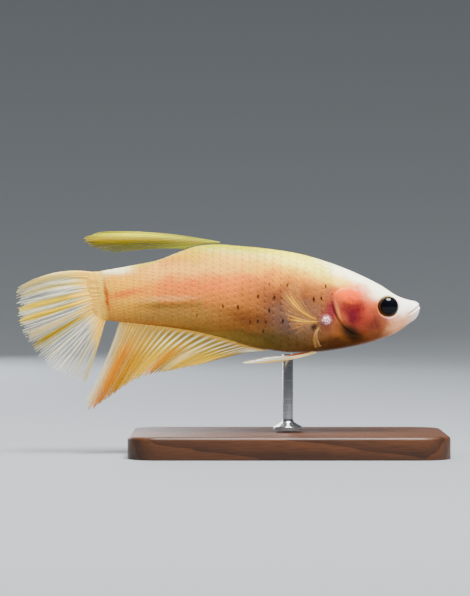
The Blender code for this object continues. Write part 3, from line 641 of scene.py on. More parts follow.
def warped(tree, point, scale, reach):
    """The point pushed about by soft noise."""
    soft = noise(tree, point, scale, 3.0, output="Color")
    centred = maths(tree, "SUBTRACT", soft, (0.5, 0.5, 0.5), kind=VECTOR)
    return maths(tree, "ADD", point, scaled_vector(tree, centred, reach), kind=VECTOR)


def fish_point(tree):
    """The piece's own coordinates as fish millimetres."""
    grown = maths(tree, "MULTIPLY", own_place(tree), (1 / MM, 1 / MM, 1 / MM), kind=VECTOR)
    return maths(tree, "SUBTRACT", grown, tuple(FISH_SHIFT), kind=VECTOR)


def with_areas(tree, point, close, colour):
    """Every area laid over the colour, in order."""
    broad = warped(tree, point, *BROAD_WARP)
    for name, station, height, lean, half_length, half_height, tint, strength, softness in AREAS:
        place = close if min(half_length, half_height) < SMALL_AREA else broad
        place = point if name in PRECISE else place
        halves = (half_length, THROUGH, half_height)
        spread = oval(tree, place, (station, 0.0, height), lean, halves, softness)
        colour = mixed(tree, colour, paint(tint), maths(tree, "MULTIPLY", spread, strength))
    return colour


print("areas less than", 2 * SMALL_AREA, "mm across get the closer noise")

# %% [markdown]
# Dark speckles sit behind the shoulder, each where the photograph shows it. The left side can't be
# seen, so it gets the same ones, shifted a little: no fish is marked alike on both sides. Blood
# shows through the thin gill cover as a fine net, which is noise cut off at a level.

# %% Speckles and veins
SPECKLES = (
    (269, 284), (274, 297), (287, 285), (325, 286), (313, 299), (320.5, 298), (258, 296), (269, 310),
    (238, 307), (257.5, 321), (265.5, 322), (250, 321), (282.5, 320.5), (290, 318), (263, 331),
    (223, 306), (197, 315),
)
SPECKLE_HALF_LENGTH, SPECKLE_HALF_HEIGHT = 0.23, 0.48
SPECKLE_SIDE, SPECKLE_REACH = 3.6, 3.4
SPECKLE_COLOUR, SPECKLE_STRENGTH, SPECKLE_SOFTNESS = (0.09, 0.04, 0.04), 0.95, 0.75
SPECKLE_SHIFT_ALONG, SPECKLE_SHIFT_UP, SPECKLE_TILT = 2.2, 1.2, 8
VEIN_COLOUR, VEIN_STRENGTH = (0.42, 0.05, 0.10), 0.75
VEIN_CENTRE, VEIN_LEAN, VEIN_HALVES = (33.3, 0.0, -1.0), 10, (2.3, THROUGH, 2.9)


def speckle_places(rng):
    """Station, height and side of each speckle: those of the photograph, then the shifted ones."""
    right = [(*at_pixel(*pixel), -1) for pixel in SPECKLES]
    return right + [
        (
            station + rng.uniform(-SPECKLE_SHIFT_ALONG, SPECKLE_SHIFT_ALONG),
            height + rng.uniform(-SPECKLE_SHIFT_UP, SPECKLE_SHIFT_UP), 1,
        )
        for station, height, _ in right
    ]


def with_speckles(tree, point, colour):
    rng = random.Random(7)
    for station, height, way in speckle_places(rng):
        size = rng.uniform(0.7, 1.15)
        centre = (station, SPECKLE_SIDE * way, height)
        halves = (SPECKLE_HALF_LENGTH * size, SPECKLE_REACH, SPECKLE_HALF_HEIGHT * size)
        spot = oval(tree, point, centre, rng.uniform(-SPECKLE_TILT, SPECKLE_TILT), halves, SPECKLE_SOFTNESS)
        shown = maths(tree, "MULTIPLY", spot, SPECKLE_STRENGTH)
        colour = mixed(tree, colour, paint(SPECKLE_COLOUR), shown)
    return colour


def with_veins(tree, point, close, colour):
    blood = ranged(tree, noise(tree, point, 1.9, 7.0, 0.7), 0.48, 0.62)
    on_gill = oval(tree, close, VEIN_CENTRE, VEIN_LEAN, VEIN_HALVES, 0.8)
    shown = maths(tree, "MULTIPLY", maths(tree, "MULTIPLY", blood, on_gill), VEIN_STRENGTH)
    return mixed(tree, colour, paint(VEIN_COLOUR), shown)


print(2 * len(SPECKLES), "speckles on both sides")

# %% [markdown]
# Living skin is moist and a little see-through. Some light goes under the surface, a thin clear coat
# gives the wet shine, and fine pores break it up. Scales use the same material, with their rims a
# little lighter and each plate a little different, so the markings run through both.

# %% The moist skin's material
PORE_STRENGTH, PORE_DEPTH = 0.5, 0.00004
RIM_TONES, PLATE_TONES = (1.0, 1.16), (1.03, 0.95)


def skin_colour(tree, point):
    """The base colour with areas, speckles and veins laid over it, and a fine mottling."""
    close = warped(tree, point, *CLOSE_WARP)
    colour = with_speckles(tree, point, with_areas(tree, point, close, paint(SKIN_BASE)))
    colour = with_veins(tree, point, close, colour)
    mottle = ranged(tree, noise(tree, point, 2.6, 5.0, 0.65), 0.3, 0.7, 0.90, 1.07)
    return mixed(tree, colour, mottle, 1.0, "MULTIPLY")


def skin_material():
    material, tree, shader = new_material(
        "moist_skin", Roughness=0.36, Specular_IOR_Level=0.12, Coat_Weight=0.07, Coat_Roughness=0.12,
        IOR=1.35, Subsurface_Weight=0.25, Subsurface_Radius=(1.0, 0.40, 0.22), Subsurface_Scale=0.0006,
    )
    point = fish_point(tree)
    colour = skin_colour(tree, point)
    for label, (low, high) in (("scale_rim", RIM_TONES), ("scale_tone", PLATE_TONES)):
        share = ranged(tree, stored(tree, label), 0.0, 1.0, low, high)
        colour = mixed(tree, colour, share, 1.0, "MULTIPLY")
    tree.links.new(colour, shader.inputs["Base Color"])
    pores = add_node(tree, "ShaderNodeTexVoronoi", {"Vector": point, "Scale": 3.4, "Randomness": 1.0})
    grain = noise(tree, point, 6.0, 4.0)
    both = maths(tree, "ADD", pores.outputs["Distance"], grain)
    emboss(tree, shader, both, PORE_STRENGTH, PORE_DEPTH)
    tree.links.new(ranged(tree, grain, 0.3, 0.7, 0.27, 0.42), shader.inputs["Roughness"])
    return material


moist_skin = skin_material()
body_skin = add_piece("betta_skin", skin_mesh, moist_skin)
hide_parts("head", "lower_jaw", "gill_cover_right", "gill_cover_left", "trunk", "tail_stem")
print("skin material has", len(moist_skin.node_tree.nodes), "nodes")

# %% [markdown]
# A betta's scales are thin rounded plates that overlap towards the tail, in staggered rows. All of
# them are copies of one closed plate, thicker at its free rear edge. It keeps its height over the
# skin as an attribute, because the skin's own curve is added only when it is laid.

# %% One scale
PLATE_SIDES = 14
# Share of the half width, and height over the skin as a share of the plate's rise
PLATE_RINGS = ((0.96, -0.03), (1.0, 0.02), (0.86, 0.052), (0.45, 0.047))
PLATE_BLUNTNESS, PLATE_ROOT_HEIGHT = 0.10, 0.15
RIM_FROM = 0.45


def scale_shape():
    """A closed rounded plate, 1 long and 1 wide, with its height over the skin as an attribute."""
    shape = bmesh.new()
    lift = shape.verts.layers.float.new("lift")
    edge = shape.verts.layers.float.new("scale_rim")
    made = []
    for share, height in PLATE_RINGS:
        ring = []
        for i in range(PLATE_SIDES):
            turn = 2 * math.pi * i / PLATE_SIDES
            x, y = math.cos(turn) * share, math.sin(turn) * share
            vertex = shape.verts.new((0.5 * x * (1.0 - PLATE_BLUNTNESS * y * y), 0.5 * y, 0.0))
            to_rear = 0.5 - 0.5 * x
            rise = PLATE_ROOT_HEIGHT + (1 - PLATE_ROOT_HEIGHT) * to_rear
            vertex[lift] = height * rise if height > 0 else height
            vertex[edge] = to_rear**2 * max(0.0, (share - RIM_FROM) / (1 - RIM_FROM))
            ring.append(vertex)
        made.append(ring)
    for low, high in zip(made, made[1:]):
        for i in range(PLATE_SIDES):
            j = (i + 1) % PLATE_SIDES
            shape.faces.new((low[i], low[j], high[j], high[i]))
    shape.faces.new(made[0][::-1])
    shape.faces.new(made[-1])
    return mesh_of("scale_shape", shape)


one_scale = add_object("scale_shape", scale_shape())
print("one scale has", len(one_scale.data.polygons), "faces")

# %% [markdown]
# Each row of roots is a ring round the body, half a plate out of step with the last, and the rows
# draw closer to the tail, as the plates get smaller there. No scale roots on the bony head: an arc
# behind the gills is the border. Each root keeps which way is out and which way is ahead.

# %% Where the scales root
SCALES_AROUND = 38
SCALE_FIRST, SCALE_LAST = 29.6, -0.7
SCALE_PITCH_FRONT, SCALE_PITCH_REAR = 1.12, 0.74
SCALE_OVERLAP, SCALE_WIDENING = 1.5, 1.22
GILL_ARC_STATION, GILL_ARC_HEIGHT, GILL_ARC_RADIUS = 39.3, -0.66, 9.35
STEP_AHEAD, STEP_ROUND = 0.2, 0.02
# Rise of the plates at the shoulder, what the flank adds, and what the rear flank adds
RISE_FRONT, RISE_FLANK, RISE_REAR = 0.12, 0.23, 0.55


def ring_roots(station, shift):
    """Places spaced evenly round the body at a station, with their share of the way round."""
    angles = np.linspace(0, 2 * math.pi, 721)
    ring = skin_points(np.full_like(angles, station), angles)
    lengths = np.concatenate([[0.0], np.cumsum(np.linalg.norm(np.diff(ring, axis=0), axis=1))])
    shares = (np.arange(SCALES_AROUND) + shift) / SCALES_AROUND
    return np.interp(shares * lengths[-1], lengths, angles), lengths[-1] / SCALES_AROUND


def on_head(place):
    return math.hypot(place[0] - GILL_ARC_STATION, place[2] - GILL_ARC_HEIGHT) < GILL_ARC_RADIUS


def scale_roots():
    """Place, way out, way ahead, size, tone, place on the map and rise of every root."""
    rng = random.Random(3)
    roots, station, row = [], SCALE_FIRST, 0
    while station > SCALE_LAST:
        share = (SCALE_FIRST - station) / (SCALE_FIRST - SCALE_LAST)
        pitch = SCALE_PITCH_FRONT + (SCALE_PITCH_REAR - SCALE_PITCH_FRONT) * share
        angles, width = ring_roots(station, 0.5 * (row % 2))
        for angle in angles:
            near_by = np.array([station, station + STEP_AHEAD, station])
            here, ahead, beside = skin_points(near_by, np.array([angle, angle, angle + STEP_ROUND]))
            normal = np.cross(beside - here, ahead - here)
            normal *= np.sign(normal @ (here - np.array((here[0], 0.0, section(station)[1]))) + 1e-9)
            if on_head(here):
                continue
            size = (pitch * SCALE_OVERLAP, width * SCALE_WIDENING * rng.uniform(0.96, 1.04), 1.0)
            unrolled = ((station + 3) / (BODY_LENGTH + 4), angle / (2 * math.pi), 0.0)
            rise = RISE_FRONT + RISE_FLANK * smoothstep(29.0, 26.0, station)
            rise += RISE_REAR * smoothstep(24.0, 12.0, station) * smoothstep(6.5, 3.5, here[2])
            roots.append((here, normal, ahead - here, size, rng.random(), unrolled, rise))
        station, row = station - pitch, row + 1
    return roots


def roots_object(roots):
    """A cloud of points that keeps for each root what the tree will read."""
    places, outs, aheads, sizes, tones, unrolled, rises = zip(*roots)
    mesh = bpy.data.meshes.new("flank_scales")
    mesh.from_pydata([tuple(p) for p in to_row(places)], [], [])
    keep_values(mesh, "normal_way", outs, "FLOAT_VECTOR", "vector")
    keep_values(mesh, "ahead_way", aheads, "FLOAT_VECTOR", "vector")
    keep_values(mesh, "plate_size", np.array(sizes, np.float32) * MM, "FLOAT_VECTOR", "vector")
    keep_values(mesh, "scale_tone", tones)
    keep_values(mesh, "rise_share", rises)
    keep_values(mesh, "unrolled", unrolled, "FLOAT_VECTOR", "vector")
    return add_object("scale_roots", mesh)


scale_points = roots_object(scale_roots())
print(len(scale_points.data.vertices), "scale roots")

# %% [markdown]
# A tree of Geometry Nodes needs named inputs, a run on an object, and its result kept as a plain
# mesh. The inputs are set by their identifiers, since two inputs may share a name. The same three
# helpers serve the scales here and the rays later.

# %% Helpers for Geometry Nodes
def tree_with_inputs(name, sockets):
    tree = bpy.data.node_groups.new(name, "GeometryNodeTree")
    tree.interface.new_socket("Geometry", in_out="INPUT", socket_type="NodeSocketGeometry")
    for label, kind in sockets:
        tree.interface.new_socket(label, in_out="INPUT", socket_type=kind)
    tree.interface.new_socket("Geometry", in_out="OUTPUT", socket_type="NodeSocketGeometry")
    return tree, tree.nodes.new("NodeGroupInput").outputs, tree.nodes.new("NodeGroupOutput").inputs


def attribute(tree, name, kind="FLOAT"):
    return add_node(tree, "GeometryNodeInputNamedAttribute", {"Name": name}, data_type=kind).outputs[0]


def applied(thing, tree, values, mesh_name):
    """Runs the tree on the object with its inputs set by identifier, and keeps the plain mesh."""
    modifier = thing.modifiers.new(tree.name, "NODES")
    modifier.node_group = tree
    for socket in tree.interface.items_tree:
        if socket.in_out == "INPUT" and socket.name in values:
            modifier[socket.identifier] = values[socket.name]
    bpy.context.view_layer.update()
    made = bpy.data.meshes.new_from_object(thing.evaluated_get(bpy.context.evaluated_depsgraph_get()))
    made.name = mesh_name
    thing.modifiers.remove(modifier)
    bpy.data.objects.remove(thing, do_unlink=True)
    return made


print("helpers ready for the scales and the rays")

# %% [markdown]
# The scale tree reads each root's directions and size, instances the plate there and makes the
# instances real. Then it moves every point to the nearest skin plus the plate's own height, so that
# each plate bends with the flank. Each gets a small patch of the map OFBake, at its root's place on
# the unrolled skin.

# %% The scale tree
SCALE_RISE = 0.6 * MM
MAP_PATCH = 0.003


def plates_set(tree, given):
    """One plate turned and sized on every root, as real points."""
    plate = add_node(tree, "GeometryNodeObjectInfo", {"Object": given["Plate"]})
    turned_out = add_node(tree, "FunctionNodeAxesToRotation", {
        "Primary Axis": attribute(tree, "normal_way", "FLOAT_VECTOR"),
        "Secondary Axis": attribute(tree, "ahead_way", "FLOAT_VECTOR"),
    }, primary_axis="Z", secondary_axis="X")
    position = add_node(tree, "GeometryNodeInputPosition")
    kept = add_node(tree, "GeometryNodeStoreNamedAttribute", {
        "Geometry": plate.outputs["Geometry"], "Name": "plate_place", "Value": position.outputs[0],
    }, data_type="FLOAT_VECTOR", domain="POINT")
    set_out = add_node(tree, "GeometryNodeInstanceOnPoints", {
        "Points": given["Geometry"], "Instance": kept.outputs[0], "Rotation": turned_out.outputs[0],
        "Scale": attribute(tree, "plate_size", "FLOAT_VECTOR"),
    })
    return add_node(tree, "GeometryNodeRealizeInstances", {"Geometry": set_out.outputs[0]}).outputs[0]


def on_skin(tree, given):
    """The nearest place on the skin, moved out by the point's own height over it."""
    target = add_node(tree, "GeometryNodeObjectInfo", {"Object": given["Skin"]}).outputs["Geometry"]
    nearest = add_node(tree, "GeometryNodeProximity", {"Target": target}, target_element="FACES")
    normal = add_node(tree, "GeometryNodeInputNormal")
    out = add_node(tree, "GeometryNodeSampleNearestSurface", {
        "Mesh": target, "Value": normal.outputs[0],
    }, data_type="FLOAT_VECTOR")
    share = maths(tree, "MULTIPLY", attribute(tree, "rise_share"), given["Rise"])
    height = maths(tree, "MULTIPLY", attribute(tree, "lift"), share)
    away = scaled_vector(tree, out.outputs[0], height)
    return maths(tree, "ADD", nearest.outputs["Position"], away, kind=VECTOR)


def scale_tree():
    tree, given, out = tree_with_inputs("lay_scales", (
        ("Plate", "NodeSocketObject"), ("Skin", "NodeSocketObject"),
        ("Rise", "NodeSocketFloat"), ("Patch", "NodeSocketFloat"), ("Finish", "NodeSocketMaterial"),
    ))
    moved = add_node(tree, "GeometryNodeSetPosition", {
        "Geometry": plates_set(tree, given), "Position": on_skin(tree, given),
    })
    patch = scaled_vector(tree, attribute(tree, "plate_place", "FLOAT_VECTOR"), given["Patch"])
    on_map = maths(tree, "ADD", attribute(tree, "unrolled", "FLOAT_VECTOR"), patch, kind=VECTOR)
    mapped = add_node(tree, "GeometryNodeStoreNamedAttribute", {
        "Geometry": moved.outputs[0], "Name": "OFBake", "Value": on_map,
    }, data_type="FLOAT2", domain="CORNER")
    finished = add_node(tree, "GeometryNodeSetMaterial", {
        "Geometry": mapped.outputs[0], "Material": given["Finish"],
    })
    tree.links.new(finished.outputs[0], out["Geometry"])
    return tree


scales_mesh = applied(scale_points, scale_tree(), {
    "Plate": one_scale, "Skin": body_skin, "Rise": SCALE_RISE, "Patch": MAP_PATCH, "Finish": moist_skin,
}, "flank_scales")
bpy.data.objects.remove(one_scale, do_unlink=True)
add_piece("flank_scales", scales_mesh, moist_skin)
print("scales:", len(scales_mesh.polygons), "faces")

# %% [markdown]
# The eye is a flattened ball almost filled by its pupil. A thin olive-gold iris shows behind and
# below it, because the pupil sits a little forward. The wet shine is a clear coat, and the iris
# lies in a shallow ring pressed into the ball's surface.

# %% Eyes
PUPIL_SHIFT = (0.08, 0.05)
PUPIL_RADIUS, PUPIL_SPREAD = 1.18, 0.04
IRIS_RADIUS, IRIS_SPREAD = 1.28, 0.05
IRIS_DIP, IRIS_DIP_OUT, IRIS_DIP_WIDTH = 0.035, 0.05, 0.07
DISC_SOFTNESS = 0.06
OLIVE_IRIS, GOLD_IRIS, DARK_RIM = (0.16, 0.14, 0.06), (0.38, 0.34, 0.14), (0.05, 0.05, 0.04)
PUPIL_BLACK = (0.002, 0.002, 0.004, 1.0)


def eye_mesh(name, way):
    shape = bmesh.new()
    upright = Matrix.Rotation(math.radians(90), 4, "X")
    bmesh.ops.create_uvsphere(shape, u_segments=64, v_segments=48, radius=1.0, matrix=upright)
    points = np.array([v.co for v in shape.verts])
    away = np.hypot(points[:, 0] * EYE_RADIUS - PUPIL_SHIFT[0], points[:, 2] * EYE_RADIUS - PUPIL_SHIFT[1])
    pressed = 1 - IRIS_DIP * bump_at(away - (PUPIL_RADIUS + IRIS_DIP_OUT), IRIS_DIP_WIDTH)
    places = points * np.array((EYE_RADIUS, EYE_BULGE, EYE_RADIUS))
    places[:, 1] *= pressed
    places += np.array((EYE_STATION, way * EYE_SIDE, EYE_HEIGHT))
    for vertex, place in zip(shape.verts, to_row(places)):
        vertex.co = place
    return mesh_of(name, shape)


def disc(tree, point, station, height, radius):
    """A factor that is 1 inside a circle seen from the side."""
    return oval(tree, point, (station, 0.0, height), 0, (radius, THROUGH, radius), DISC_SOFTNESS)


def eye_material():
    material, tree, shader = new_material(
        "wet_eye", Roughness=0.08, Coat_Weight=0.12, Coat_Roughness=0.02, IOR=1.22,
    )
    point = fish_point(tree)
    pupil_station, pupil_height = EYE_STATION + PUPIL_SHIFT[0], EYE_HEIGHT + PUPIL_SHIFT[1]
    pupil = disc(tree, point, pupil_station, pupil_height, PUPIL_RADIUS + PUPIL_SPREAD)
    iris = disc(tree, point, EYE_STATION, EYE_HEIGHT, IRIS_RADIUS + IRIS_SPREAD)
    gold = mixed(tree, paint(OLIVE_IRIS), paint(GOLD_IRIS), noise(tree, point, 5.0, 4.0))
    rim = mixed(tree, paint(DARK_RIM), gold, iris)
    tree.links.new(mixed(tree, rim, PUPIL_BLACK, pupil), shader.inputs["Base Color"])
    return material


wet_eye = eye_material()
for way, word in SIDES:
    eyeball = add_piece("eyeball_" + word, eye_mesh("eyeball_" + word, way), wet_eye)
    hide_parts("eye_" + word)
print("eyes set", 2 * EYE_SIDE, "mm apart at their centres")

# %% [markdown]
# Beside each pectoral fin's root sits a pale fleshy lobe with a bobbly surface. It is cheap to
# model as a ball whose points move out wherever one of the evenly spread bobbles stands. How far
# each point moved is kept as an attribute, so that the dips between the bobbles come out redder.

# %% The lobes at the pectoral fins
LOBE_RADIUS, LOBE_OUT = 0.60, 0.40
BOBBLES, BOBBLE_REACH, BOBBLE_RISE, BOBBLE_JITTER = 34, 0.24, 0.20, 0.12
LOBE_DIP, LOBE_TOP = (0.66, 0.38, 0.40), (0.93, 0.80, 0.80)


def evenly_spread(count):
    """Directions spread evenly round a ball, each turned from the last by the golden angle."""
    turn = np.arange(count) * math.pi * (3 - math.sqrt(5))
    out = 1 - (2 * np.arange(count) + 1) / count
    across = np.sqrt(1 - out**2)
    return np.stack([np.cos(turn) * across, out, np.sin(turn) * across], axis=-1)


def bobble_ways():
    """Which way each bobble stands, moved a little off its even place."""
    jitter = BOBBLE_JITTER * np.sin(np.arange(3 * BOBBLES).reshape(-1, 3) * 2.4)
    ways = evenly_spread(BOBBLES) + jitter
    return ways / np.linalg.norm(ways, axis=1, keepdims=True)


def lobe_mesh(name, way):
    shape = bmesh.new()
    bmesh.ops.create_icosphere(shape, subdivisions=5, radius=1.0)
    points = np.array([v.co for v in shape.verts])
    apart = np.arccos(np.clip(points @ bobble_ways().T, -1, 1)).min(axis=1)
    rise = bump_at(apart, BOBBLE_REACH)
    swelling = (1 - BOBBLE_RISE + BOBBLE_RISE * rise)[:, None]
    places = points * swelling * (LOBE_RADIUS, LOBE_OUT, LOBE_RADIUS)
    places += (KNOB_STATION, way * float(side_at(KNOB_STATION, KNOB_HEIGHT)), KNOB_HEIGHT)
    for vertex, place in zip(shape.verts, to_row(places)):
        vertex.co = place
    mesh = mesh_of(name, shape)
    keep_values(mesh, "bobble", rise)
    return mesh


def lobe_material():
    material, tree, shader = new_material(
        "pale_lobe", Roughness=0.35, Specular_IOR_Level=0.2, Coat_Weight=0.08, Coat_Roughness=0.15,
        Subsurface_Weight=0.25, Subsurface_Radius=(1.0, 0.40, 0.30), Subsurface_Scale=0.0003,
    )
    high = ranged(tree, stored(tree, "bobble"), 0.1, 0.8)
    tree.links.new(mixed(tree, paint(LOBE_DIP), paint(LOBE_TOP), high), shader.inputs["Base Color"])
    return material


pale_lobe = lobe_material()
for way, word in SIDES:
    add_piece("fin_lobe_" + word, lobe_mesh("fin_lobe_" + word, way), pale_lobe)
print("lobes set with", BOBBLES, "bobbles each")

# %% [markdown]
# A fin is a clear web held by bony rays. Both come from one function, place(u, v): u runs along
# the fin's base and v out to its margin. The functions are the model's own, so the rays stand
# where the model's ridges do. Each ray is a chord from root to tip, bowed a little to one side.

# %% How a ray lies
# The model's fins start this far off the skin, and these are sunk from there
GAP, ROOT_DEPTH = 0.3, 0.55


def tip_lines(tips):
    shares, stations, heights = zip(*tips)
    return smooth_curve(list(zip(shares, stations))), smooth_curve(list(zip(shares, heights)))


def wave(turns, shift, u):
    return np.sin(2 * math.pi * (turns * u + shift))


def sunk(root, tip):
    """The root moved back along the ray, so that the fin starts inside the skin."""
    ahead = tip - root
    length = np.linalg.norm(ahead, axis=-1, keepdims=True)
    return root - ahead / length * ROOT_DEPTH


def on_bowed_chord(root, tip, bow, v):
    """Points at shares v of rays from root to tip that bow to one side of their chords."""
    ahead = (tip - root) / np.linalg.norm(tip - root, axis=-1, keepdims=True)
    out = np.stack([ahead[..., 2], np.zeros_like(bow), -ahead[..., 0]], axis=-1)
    v = v[..., None]
    return root + (tip - root) * v + out * (4 * v * (1 - v) * bow[..., None])


def flat_point(station, height):
    return np.stack([station, np.zeros_like(station), height], axis=-1)


bowed = on_bowed_chord(flat_point(0.0, 0.0), flat_point(10.0, 0.0), np.array(0.5), np.array(0.5))
print("a ray with a bow of 0.5 passes its chord's middle", abs(float(bowed[2])), "mm away")

# %% [markdown]
# The tail's rays fan out from its fleshy lobe, crowded near the top, to a margin that is part of a
# circle. Pleats and a slight sway keep the fin from lying flat, and grow towards the margin because
# the web is stiff at its root.

# %% The tail
CAUDAL_RADIUS, CAUDAL_CENTRE = 11.85, (0.15, 0.95)
CAUDAL_TOP_ANGLE, CAUDAL_BOTTOM_ANGLE = math.radians(175), math.radians(257)
CAUDAL_BOW = smooth_curve(((0.0, 1.2), (0.08, 0.55), (0.17, 0.1), (0.6, 0.0), (1.0, -0.15)))
CAUDAL_PLEAT, CAUDAL_PLEATS, CAUDAL_SWAY = 0.75, 2.2, 0.5


def caudal_place(u, v):
    height = CAUDAL_ROOT_TOP + (CAUDAL_ROOT_BOTTOM - CAUDAL_ROOT_TOP) * u**CAUDAL_CROWDING
    root = flat_point(-TAIL_END_SLANT * (height - section(0.0)[1]) - GAP, height)
    angle = CAUDAL_TOP_ANGLE + (CAUDAL_BOTTOM_ANGLE - CAUDAL_TOP_ANGLE) * u
    tip = flat_point(
        CAUDAL_CENTRE[0] + CAUDAL_RADIUS * np.cos(angle), CAUDAL_CENTRE[1] + CAUDAL_RADIUS * np.sin(angle)
    )
    point = on_bowed_chord(sunk(root, tip), tip, CAUDAL_BOW(u), v)
    point[..., 1] = CAUDAL_PLEAT * v**1.5 * wave(CAUDAL_PLEATS, 0.1, u) + CAUDAL_SWAY * v * v
    return point


longest_tip = caudal_place(np.array(0.0), np.array(1.0))
print("the tail's longest ray ends at station", round(float(longest_tip[0]), 1))

# %% [markdown]
# The anal fin hangs from most of the belly line, shallow in front and deepest at its rear point.
# Its margin runs through a few tips read from the photograph, and a second line says how its rays'
# roots crowd along the base.

# %% The anal fin
ANAL_RAYS, ANAL_REAR, ANAL_FRONT = 24, 1.45, 21.0
ANAL_TIPS = (
    (0.0, -2.35, -12.9), (0.07, -1.9, -14.15), (0.18, 0.0, -13.0), (0.3, 1.9, -11.6),
    (0.42, 4.1, -10.15), (0.52, 6.2, -9.3), (0.63, 7.4, -9.2), (0.75, 10.1, -8.6),
    (0.87, 12.9, -7.95), (1.0, 16.7, -6.95),
)
ANAL_ROOTS = smooth_curve((
    (0.0, 0.0), (0.13, 0.15), (0.25, 0.27), (0.52, 0.585), (0.6, 0.70), (0.8, 0.91), (1.0, 1.0),
))
ANAL_BOW = smooth_curve(((0.0, -0.35), (0.4, 0.3), (1.0, 0.15)))
ANAL_PLEAT, ANAL_PLEATS, ANAL_SWAY = 0.55, 2.6, 0.5


def anal_place(u, v):
    station, height = tip_lines(ANAL_TIPS)
    root = skin_points(ANAL_REAR + (ANAL_FRONT - ANAL_REAR) * ANAL_ROOTS(u), math.pi) - np.array((0, 0, GAP))
    root[..., 1] = 0.0
    tip = flat_point(station(u), height(u))
    point = on_bowed_chord(sunk(root, tip), tip, ANAL_BOW(u), v)
    point[..., 1] = -ANAL_PLEAT * v**1.5 * wave(ANAL_PLEATS, 0.05, u) - ANAL_SWAY * v * v
    return point


print("the anal fin reaches down to", ANAL_TIPS[1][2], "mm")

# %% [markdown]
# The dorsal fin is folded back over the tail stem, as a swimming betta carries it. Its base is
# short, so its nine rays lie nearly along each other.

# %% The dorsal fin
DORSAL_RAYS, DORSAL_FRONT, DORSAL_REAR = 9, 15.0, 10.4
DORSAL_TIPS = (
    (0.0, -0.4, 9.6), (0.25, -2.3, 9.0), (0.5, -2.6, 8.3), (0.75, -1.5, 7.5), (1.0, 1.1, 6.8),
)
DORSAL_BOW = smooth_curve(((0.0, 0.5), (0.5, 0.3), (1.0, 0.25)))
DORSAL_PLEAT = 0.45
DORSAL_PLEATS = 1.1


def dorsal_place(u, v):
    station, height = tip_lines(DORSAL_TIPS)
    root = skin_points(DORSAL_FRONT + (DORSAL_REAR - DORSAL_FRONT) * u, 0.0) + np.array((0, 0, GAP))
    root[..., 1] = 0.0
    tip = flat_point(station(u), height(u))
    point = on_bowed_chord(sunk(root, tip), tip, DORSAL_BOW(u), v)
    point[..., 1] = DORSAL_PLEAT * v**1.3 * wave(DORSAL_PLEATS, 0.2, u)
    return point


print("the dorsal fin's base is", round(DORSAL_FRONT - DORSAL_REAR, 1), "mm long")

# %% [markdown]
# The pectoral fins come in a pair, so their function is made for one side by a function that is
# told which. The fin is a fan that opens along its length: near the root its rays lie close, and
# the whole cups outward. It swings back and away from the flank.

# %% The pectoral fins
PECTORAL_RAYS = 11
PECTORAL_STATION, PECTORAL_HEIGHT, PECTORAL_ROOT = 28.55, -2.45, 1.5
PECTORAL_SWING, PECTORAL_LEAN = math.radians(38), math.radians(12)
PECTORAL_TOP_ANGLE, PECTORAL_BOTTOM_ANGLE = math.radians(71), math.radians(-82)
PECTORAL_LENGTHS = smooth_curve(((0.0, 5.3), (0.2, 6.6), (0.45, 5.4), (0.75, 3.7), (1.0, 2.5)))
PECTORAL_CUP = 0.8
PECTORAL_CLOSED = 0.25


def pectoral_place(way):
    rise = np.array((-math.sin(PECTORAL_LEAN), 0.0, math.cos(PECTORAL_LEAN)))
    back = np.array((-math.cos(PECTORAL_SWING), way * math.sin(PECTORAL_SWING), 0.0))

    def place(u, v):
        along = rise * (PECTORAL_ROOT * (0.5 - u))[..., None]
        station, height = PECTORAL_STATION + along[..., 0], PECTORAL_HEIGHT + along[..., 2]
        # The fin starts twice the gap under the skin, and soon stands a gap off it
        stand_off = GAP * (1 - 3 * (1 - v) ** 8)
        root = np.stack([station, way * (side_at(station, height) + stand_off), height], axis=-1)
        fan = PECTORAL_TOP_ANGLE + (PECTORAL_BOTTOM_ANGLE - PECTORAL_TOP_ANGLE) * u
        fan = fan * (PECTORAL_CLOSED + (1 - PECTORAL_CLOSED) * v)
        lie = back * np.cos(fan)[..., None] + rise * np.sin(fan)[..., None]
        cup = np.array((0.0, way * PECTORAL_CUP, 0.0)) * (v * (1 - v) * 2)[..., None]
        return root + lie * (PECTORAL_LENGTHS(u) * v)[..., None] + cup

    return place


fan_angle = math.degrees(PECTORAL_TOP_ANGLE - PECTORAL_BOTTOM_ANGLE)
print("the pectoral fans open over", round(fan_angle), "degrees")

# %% [markdown]
# The ventral fins are two slim blades that trail under the belly and splay apart. Four rays each
# are enough to hold their shape.

# %% The ventral fins
VENTRAL_RAYS = 4
VENTRAL_FRONT, VENTRAL_REAR, VENTRAL_SIDE = 27.7, 26.9, 1.05
VENTRAL_TIPS = ((0.0, 18.3, -7.75), (0.35, 19.3, -7.55), (0.7, 20.4, -7.35), (1.0, 21.6, -7.1))
VENTRAL_BOW = smooth_curve(((0.0, -0.5), (1.0, -0.05)))
VENTRAL_SPLAY = 1.5


def ventral_place(way):
    def place(u, v):
        station, height = tip_lines(VENTRAL_TIPS)
        at = VENTRAL_FRONT + (VENTRAL_REAR - VENTRAL_FRONT) * u
        belly = upper_and_lower((VENTRAL_FRONT + VENTRAL_REAR) / 2, VENTRAL_SIDE)[1]
        root = flat_point(at, np.full_like(at, belly) - GAP)
        tip = flat_point(station(u), height(u))
        point = on_bowed_chord(sunk(root, tip), tip, VENTRAL_BOW(u), v)
        point[..., 1] = way * (VENTRAL_SIDE + VENTRAL_SPLAY * (1 - (1 - v) ** 2))
        return point

    return place


print("the ventral fins trail to station", VENTRAL_TIPS[0][1])

# %% [markdown]
# The web's colour and its cover are worked out along the rays and kept on each point, so web and
# rays agree. On this fish the strong colours run out along bundles of rays. A table gives each
# bundle's place, width, strength and hue, and soft hills blend one into the next.

